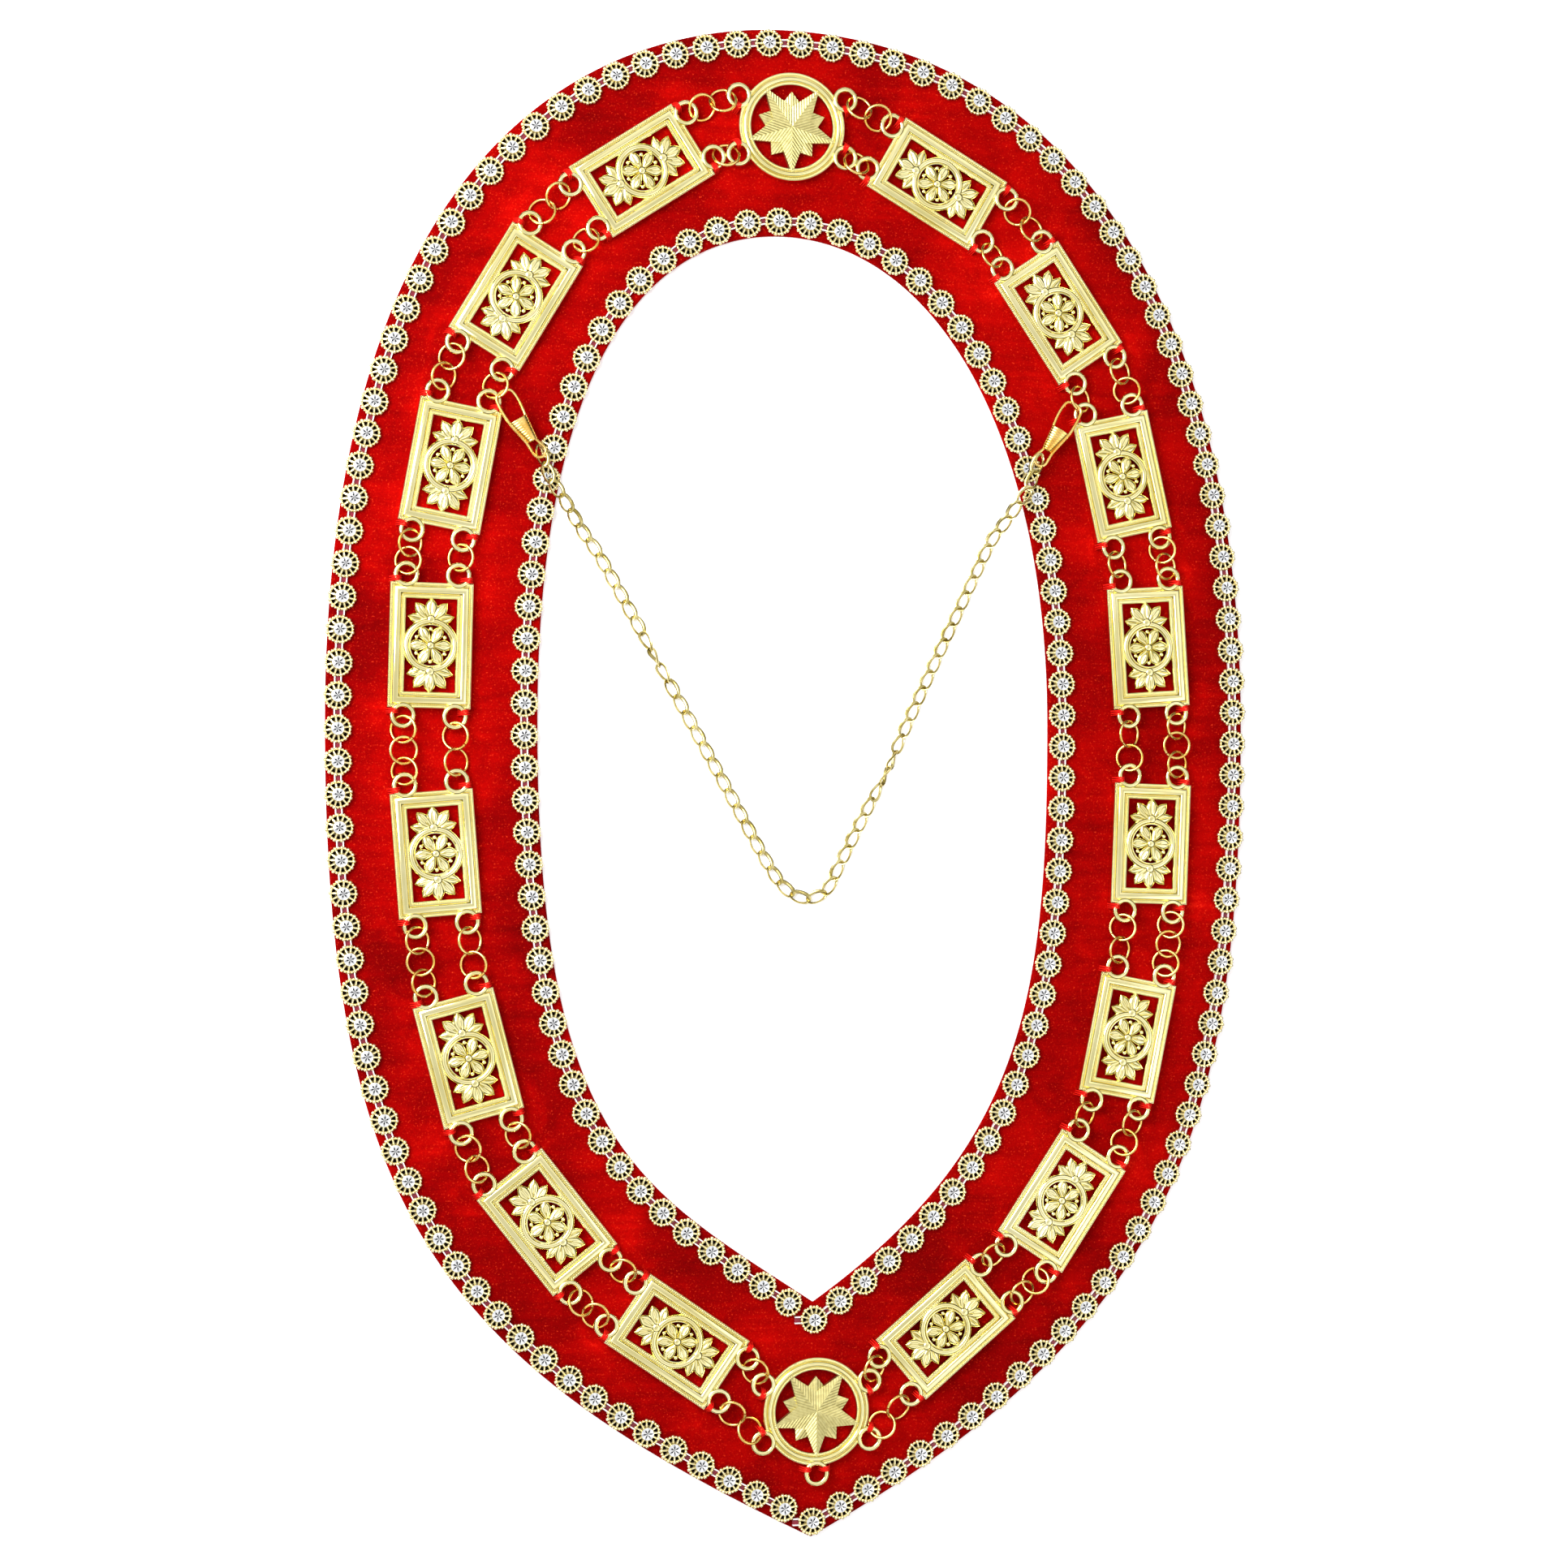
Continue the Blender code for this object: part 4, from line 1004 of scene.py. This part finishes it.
# Machine-cut glass with a silvered back: each facet is a small clean mirror, and on top each is
# painted bright, grey or dark in turn, darkest on the strokes: painted reflections.
stone_material, tree = new_material("silvered_glass_stone")
facet = add_node(tree, "ShaderNodeAttribute", attribute_name="painted_glint")
painted_facet_glints = add_node(tree, "ShaderNodeValToRGB", {"Fac": facet.outputs["Fac"]})
painted_facet_glints.color_ramp.elements[0].color = linear("#14141A")
painted_facet_glints.color_ramp.elements[1].color = linear("#FFFFFF")
painted_facet_glints.color_ramp.elements.new(0.7).color = linear("#C8CCD4")
shader = add_node(tree, "ShaderNodeBsdfPrincipled", {
    "Base Color": painted_facet_glints, "Metallic": 0.85, "Roughness": 0.05, "Coat Weight": 0.5})
add_node(tree, "ShaderNodeOutputMaterial", {"Surface": shader})

# Clear PVC: the moulding strip that the settings are threaded on. Its two ribs are painted
# nearly white to show as thin lines of light, hazed in marks of 2 mm: a painted highlight.
rib_highlight_material = mottled_finish("clear_pvc_ribs_painted_highlight", 2.0, ("#E8D4D6", "#FFFFFF"), {
    "Roughness": 0.1, "IOR": 1.53, "Transmission Weight": 0.15})

# The same strip between its ribs: a thin web on the velvet, painted a dull dark purplish red for
# the velvet seen through it, darkened as painted shade under the strip.
web_shade_material = mottled_finish("clear_pvc_web_painted_shade", 2.5, ("#640A1C", "#9C2238"), {
    "Roughness": 0.12, "IOR": 1.53, "Transmission Weight": 0.2})


def band_path(loop, insets):
    """The line that a string of flowers follows, from the velvet's tip and back to it."""
    tip = 2 * EDGE_STEPS
    line = [(*(point + way * inset), BAND_BASE)
            for point, way, inset in zip(loop, inward(loop), insets)]
    return line[tip:] + line[:tip]


outer_insets = [OUTER_INSET_END + (OUTER_INSET_SIDE - OUTER_INSET_END)
                * abs(way.normalized().x) ** 3 for way in inward(outer_edge)]
flower_item, stone_item = flower(), stone()
# A large knob ends each spoke, and a small bead sits between two knobs
knob = bead("knob", KNOB_RADIUS, KNOB_RADIUS, KNOB_RISE)
small_bead = bead("small_bead", SMALL_BEAD_RADIUS, SMALL_BEAD_RADIUS, SMALL_BEAD_RISE)
rim_points = circle(BEAD_CIRCLE, BEAD_CIRCLE_TOP, 2 * SPOKES)
bead_ring_item = add_piece("bead_ring", joined([
    along(points, item, SPOKES, foil_material)
    for points, item in ((rim_points, knob), (rim_points[1:] + rim_points[:1], small_bead))]))
rib_item, web_item = bars("rib_bars", RIBS), bars("web_bar", WEB)
for name, loop, insets, count, seed in (
        ("outer", outer_edge, outer_insets, OUTER_FLOWERS, 4),
        ("inner", inner_edge, [-INNER_INSET] * len(inner_edge), INNER_FLOWERS, 9)):
    line = band_path(loop, insets)
    parts = [along(line, item, count, foil_material, spin=0.5, seed=seed)
             for item in (flower_item, bead_ring_item)]
    settings = add_piece(f"flower_settings_{name}", joined(parts), foil_material)
    pieces = [settings]
    for kind, item, material, spin in (("rhinestones", stone_item, stone_material, 6.28),
                                       ("strip_ribs", rib_item, rib_highlight_material, 0.0),
                                       ("strip_web", web_item, web_shade_material, 0.0)):
        mesh = along(line, item, count, material, spin, seed + 1)
        pieces.append(add_piece(f"{kind}_{name}", mesh))
    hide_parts(f"rhinestone_band_{name}")
    for piece in pieces:
        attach(piece, "root")
for item in (flower_item, stone_item, knob, small_bead, bead_ring_item, rib_item, web_item):
    bpy.data.objects.remove(item)


# Spring clasps
# Each is one bent brass wire: a wide nose that hooks on a jump ring, a gate that springs shut
# inside a ribbed tapered sleeve, and a small eye for the chain at the tail.

CLASP_LENGTH, CLASP_WIDTH, CLASP_WIRE = 28.6 * MM, 8.6 * MM, 1.2 * MM
CLASP_HEADING, CLASP_ROLL, CLASP_GRIP = radians(31), radians(6), radians(48)
CLASP_SLACK, CLASP_ASIDE, GRIPPED_RADIUS = 2.3 * MM, 1.5 * MM, 5.05 * MM
SLEEVE_START, SLEEVE_LENGTH, SLEEVE_SHIFT = 7.5 * MM, 9.7 * MM, 0.7 * MM
SLEEVE_WIDE, SLEEVE_NARROW, SLEEVE_LIP = 7.3 * MM, 3.6 * MM, 0.25 * MM
SLEEVE_RIBS, SLEEVE_RIB_RISE, SLEEVE_HALF_DEPTH = 10, 0.15 * MM, 1.5 * MM
TAIL_WIDTH = 6.1 * MM


def clasp_axes(half, side):
    """Where a clasp's nose is, and the ways that its tail and its gate point."""
    start, end = row_ends(half, -1)[2]
    ring = ring_place(start, end, 0.5, side, asin(RING_DROP / GRIPPED_RADIUS))
    held = ring @ polar(GRIPPED_RADIUS, CLASP_GRIP)
    down = Vector((-side * sin(CLASP_HEADING), -cos(CLASP_HEADING), 0))
    level = Vector((-side * cos(CLASP_HEADING), sin(CLASP_HEADING), 0))
    gate_way = level * cos(CLASP_ROLL) - Vector((0, 0, sin(CLASP_ROLL)))
    return held + down * CLASP_SLACK + gate_way * CLASP_ASIDE, down, gate_way


def smoothed(points, steps):
    """A smooth line through given points."""
    line = []
    for k, (start, end) in enumerate(zip(points, points[1:])):
        before = points[k - 1] if k else start
        after = points[k + 2] if k + 2 < len(points) else end
        for share in (step / steps for step in range(steps)):
            line.append(0.5 * (2 * start + (end - before) * share
                               + (2 * before - 5 * start + 4 * end - after) * share ** 2
                               + (3 * start - before - 3 * end + after) * share ** 3))
    return line + [points[-1]]


def wire_along(maker, line, radius):
    """A round wire that follows a line, capped at both ends."""
    side_way = Vector((0, 0, 1))
    sections = []
    for point, before, after in zip(line, line[:1] + line, line[1:] + line[-1:]):
        ahead = (after - before).normalized()
        side_way = (side_way - ahead * side_way.dot(ahead)).normalized()
        sections.append(oval(point, side_way, radius, ahead.cross(side_way), radius, 10))
    loft(maker, sections, closed=False)


def clasp_mesh(nose, down, gate_way):
    """The bent wire, given by spots along and aside from the nose, and the sleeve round it."""
    bow, eye = (CLASP_WIDTH - CLASP_WIRE) / 2, (TAIL_WIDTH - CLASP_WIRE) / 2
    wide, narrow = SLEEVE_START, SLEEVE_START + SLEEVE_LENGTH
    spots = [(wide + 1.4 * MM, bow * 0.72), (wide - 0.4 * MM, bow * 0.86), (wide * 0.4, bow)]
    for turn in (pi * k / 6 for k in range(7)):
        spots.append((-bow * max(sin(turn), 0.0) ** 0.75,
                      copysign(bow * abs(cos(turn)) ** 0.75, cos(turn))))
    spots += [(wide * 0.4, -bow * 1.04), (wide, -bow * 0.99),
              (wide + SLEEVE_LENGTH / 2, -bow * 0.74), (narrow, -bow * 0.49)]
    tail = CLASP_LENGTH - CLASP_WIDTH / 2 - TAIL_WIDTH / 2
    spots += [(tail + eye * sin(turn), SLEEVE_SHIFT - eye * cos(turn))
              for turn in (pi * k / 4 for k in range(5))]
    spots += [(narrow + 1.0 * MM, SLEEVE_SHIFT + eye * 0.62),
              (narrow - 0.8 * MM, SLEEVE_SHIFT + eye * 0.4)]
    up = gate_way.cross(down)
    up = up if up.z > 0 else -up
    maker = bmesh.new()
    wire_along(maker, smoothed([nose + down * x + gate_way * y for x, y in spots], 5),
               CLASP_WIRE / 2)
    sections, rounds = [], SLEEVE_RIBS * 4
    for step in range(rounds + 1):
        share = step / rounds
        rib = SLEEVE_RIB_RISE * (0.5 - 0.5 * cos(tau * share * SLEEVE_RIBS))
        lip = SLEEVE_LIP if step in (0, rounds) else 0.0
        width = (SLEEVE_WIDE + (SLEEVE_NARROW - SLEEVE_WIDE) * share) / 2 + rib - lip
        depth = SLEEVE_HALF_DEPTH + 0.25 * MM * (1 - share) + rib - lip
        middle = nose + down * (wide + SLEEVE_LENGTH * share) + gate_way * (SLEEVE_SHIFT * share)
        sections.append(oval(middle, gate_way, width, up, depth, 24))
    loft(maker, sections, closed=False)
    return finished_mesh(maker, 50.0, merge=False)


for half, side in (("left", -1), ("right", 1)):
    clasp = add_piece(f"clasp_{half}_wire", clasp_mesh(*clasp_axes(half, side)), wire_material)
    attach(clasp, "root")
    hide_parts(f"clasp_{half}")


# Curb chain
# Oval links of pale gold-plated steel wire, each twisted so that the chain lies flat. It joins
# the clasps behind the neck, and here it lies in a V on the ground inside the collar.

LINK_LENGTH, LINK_WIDTH, LINK_WIRE, LINK_PITCH = 8.6 * MM, 5.0 * MM, 1.1 * MM, 6.5 * MM
LINK_TWIST, LINK_BULGE, LINK_STEPS = 0.68 * MM, 0.12, 18
# The wire is flattened: its half width and half thickness as shares of the round wire
WIRE_WIDE, WIRE_THICK = LINK_WIRE * 0.64, LINK_WIRE * 0.40
# Each leg of the V has one kink, where the chain turned over as it was laid down
KINKED_LINKS, KINK_REACH, KINK_ROLL, KINK_LIFT = (13.0, 38.3), 1.4, radians(80), 1.5 * MM
# The chain's route in millimetres, with its height over the ground
CHAIN_ROUTE = ((-93.0, 110.5, 8.0), (-88.5, 104.0, 7.0), (-84.2, 97.5, 4.4), (-80.0, 91.2, 2.2),
               (-72.4, 80.0, 1.5), (-47.0, 34.5, 1.5), (-24.7, -5.7, 1.5), (-11.8, -29.0, 1.5),
               (-4.2, -39.2, 1.5), (4.5, -42.8, 1.5), (11.8, -39.0, 1.5), (17.1, -29.0, 1.5),
               (35.4, 7.3, 1.5), (52.6, 44.3, 1.5), (70.0, 81.0, 1.5), (75.5, 92.0, 2.2),
               (80.0, 98.5, 4.4), (84.0, 105.0, 7.0), (88.0, 111.2, 8.0))


def chain_end(half, side):
    nose, down, gate_way = clasp_axes(half, side)
    return nose + down * (CLASP_LENGTH - CLASP_WIDTH / 2 - 1.2 * MM) + gate_way * SLEEVE_SHIFT


def curb_link():
    """A twisted oval link, whose wire lies flat on one side and stands on edge on the other."""
    length, width = (LINK_LENGTH - LINK_WIRE) / 2, (LINK_WIDTH - LINK_WIRE) / 2
    sections = []
    for turn in turns(LINK_STEPS):
        bulge = 1 + LINK_BULGE if turn < pi else 1 - LINK_BULGE
        centre = Vector((length * cos(turn), width * sin(turn) * bulge,
                         LINK_TWIST * sin(2 * turn)))
        out = Vector((width * cos(turn), length * sin(turn), 0)).normalized()
        lean = pi / 4 * (1 - sin(turn))
        section = []
        for face in turns(6):
            flat, thick = WIRE_WIDE * cos(face), WIRE_THICK * sin(face)
            section.append(centre + out * (flat * cos(lean) - thick * sin(lean))
                           + Vector((0, 0, flat * sin(lean) + thick * cos(lean))))
        sections.append(section)
    return add_piece("curb_link", skinned(sections, closed=True, sharp=70.0))


def link_places(line):
    """Evenly spaced places along the chain's route, each turned to follow it."""
    reached = [0.0]
    for start, end in zip(line, line[1:]):
        reached.append(reached[-1] + (end - start).length)
    count = round(reached[-1] / LINK_PITCH)
    places, k = [], 0
    for number in range(count):
        aim = reached[-1] * number / (count - 1)
        while k < len(line) - 2 and reached[k + 1] < aim:
            k += 1
        kink = max(exp(-((number - link) / KINK_REACH) ** 2) for link in KINKED_LINKS)
        roll = KINK_ROLL * kink
        ahead = (line[k + 1] - line[k]).normalized()
        level = Vector((-ahead.y, ahead.x, 0)).normalized()
        across = level * cos(roll) + ahead.cross(level) * sin(roll)
        spot = line[k].lerp(line[k + 1], (aim - reached[k]) / (reached[k + 1] - reached[k]))
        places.append(facing_place(spot + Vector((0, 0, KINK_LIFT * kink)), ahead, across))
    return places


# Gold-plated steel wire: the cheapest plating on the collar, so pale that it is nearly silver
# where it catches the light, and worn in patches of 4.5 mm.
chain_material = mottled_finish(
    "pale_gilt_steel_wire", 4.545, ("#A08E48", "#D2C48A"), {"Metallic": 1.0, "Roughness": 0.25},
    span=(0.35, 0.65), detail=3.0, roughness=0.6)

route = smoothed([chain_end("left", -1)] + [Vector(spot) * MM for spot in CHAIN_ROUTE]
                 + [chain_end("right", 1)], 10)
link_item = curb_link()
chain = add_piece("curb_chain_links", scattered(link_places(route), link_item, chain_material))
bpy.data.objects.remove(link_item)
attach(chain, "root")
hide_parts("curb_chain")


# Ground, light and camera
# The collar lies on a plain white table under a large soft light from above. The camera looks
# almost straight down on it, from a little to the left.

CAMERA_DISTANCE, CAMERA_LEAN = 1.2, radians(12.2)
CAMERA_AIM = Vector((-5.4 * MM, 0, 4.0 * MM))
SENSOR_WIDTH, FOCAL_LENGTH = 36.0, 74.5
TABLE_HALF, TABLE_DROP = 60.0, 0.2 * MM

maker = bmesh.new()
bmesh.ops.create_grid(maker, x_segments=8, y_segments=8, size=TABLE_HALF)
# Melamine-faced board, matt white, with a faint unevenness 0.3 m wide
ground = add_piece("ground", finished_mesh(maker), mottled_finish(
    "white_table", 333.3, ("#F6F6F6", "#FCFCFC"), {
        "Roughness": 0.9, "Specular IOR Level": 0.1, "Emission Color": linear("#FFFFFF"),
        "Emission Strength": 0.25}))
ground.data.transform(Matrix.Translation((0, 0, -TABLE_DROP)))

# A white room that is brightest above, dimmer straight up where the camera hangs, and dark below
world = bpy.data.worlds.new("white_room")
world.use_nodes = True
tree = world.node_tree
tree.nodes.clear()
coordinates = add_node(tree, "ShaderNodeTexCoord").outputs["Generated"]
direction = add_node(tree, "ShaderNodeSeparateXYZ", {"Vector": coordinates})
clutter = add_node(tree, "ShaderNodeTexNoise", {
    "Vector": coordinates, "Scale": 2.2, "Detail": 1.0})
level = add_node(tree, "ShaderNodeMath", {
    0: clutter, 1: 0.5, 2: direction.outputs["Z"]}, operation="MULTIPLY_ADD")
level = add_node(tree, "ShaderNodeMapRange", {"Value": level, "From Min": 0.25, "From Max": 1.25})
room = add_node(tree, "ShaderNodeValToRGB", {"Fac": level})
darkest, zenith = room.color_ramp.elements
darkest.position, darkest.color = 0.24, (0.01, 0.01, 0.01, 1.0)
zenith.position, zenith.color = 1.0, (0.62, 0.62, 0.62, 1.0)
for position, tone in ((0.42, 0.10), (0.54, 0.75), (0.66, 1.0), (0.86, 1.0), (0.95, 0.68)):
    room.color_ramp.elements.new(position).color = (tone, tone, tone, 1.0)
background = add_node(tree, "ShaderNodeBackground", {"Color": room, "Strength": 1.25})
add_node(tree, "ShaderNodeOutputWorld", {"Surface": background})
bpy.context.scene.world = world

for name, spot, size, power in (("soft_light_left", (-0.52, 0.25, 0.6), 0.5, 9.5),
                                ("soft_light_right", (0.8, -0.5, 1.1), 0.8, 1.5)):
    lamp = bpy.data.lights.new(name, "AREA")
    lamp.size, lamp.energy = size, power
    light = add_piece(name, lamp)
    light.location = spot
    light.rotation_euler = (-Vector(spot)).to_track_quat("-Z", "Y").to_euler()

lens = bpy.data.cameras.new("camera")
lens.sensor_width, lens.lens = SENSOR_WIDTH, FOCAL_LENGTH
camera = add_piece("camera", lens)
camera.location = CAMERA_AIM + CAMERA_DISTANCE * Vector((-sin(CAMERA_LEAN), 0,
                                                         cos(CAMERA_LEAN)))
camera.rotation_euler = (0, -CAMERA_LEAN, 0)
bpy.context.scene.camera = camera
bpy.context.scene.view_settings.view_transform = "Standard"
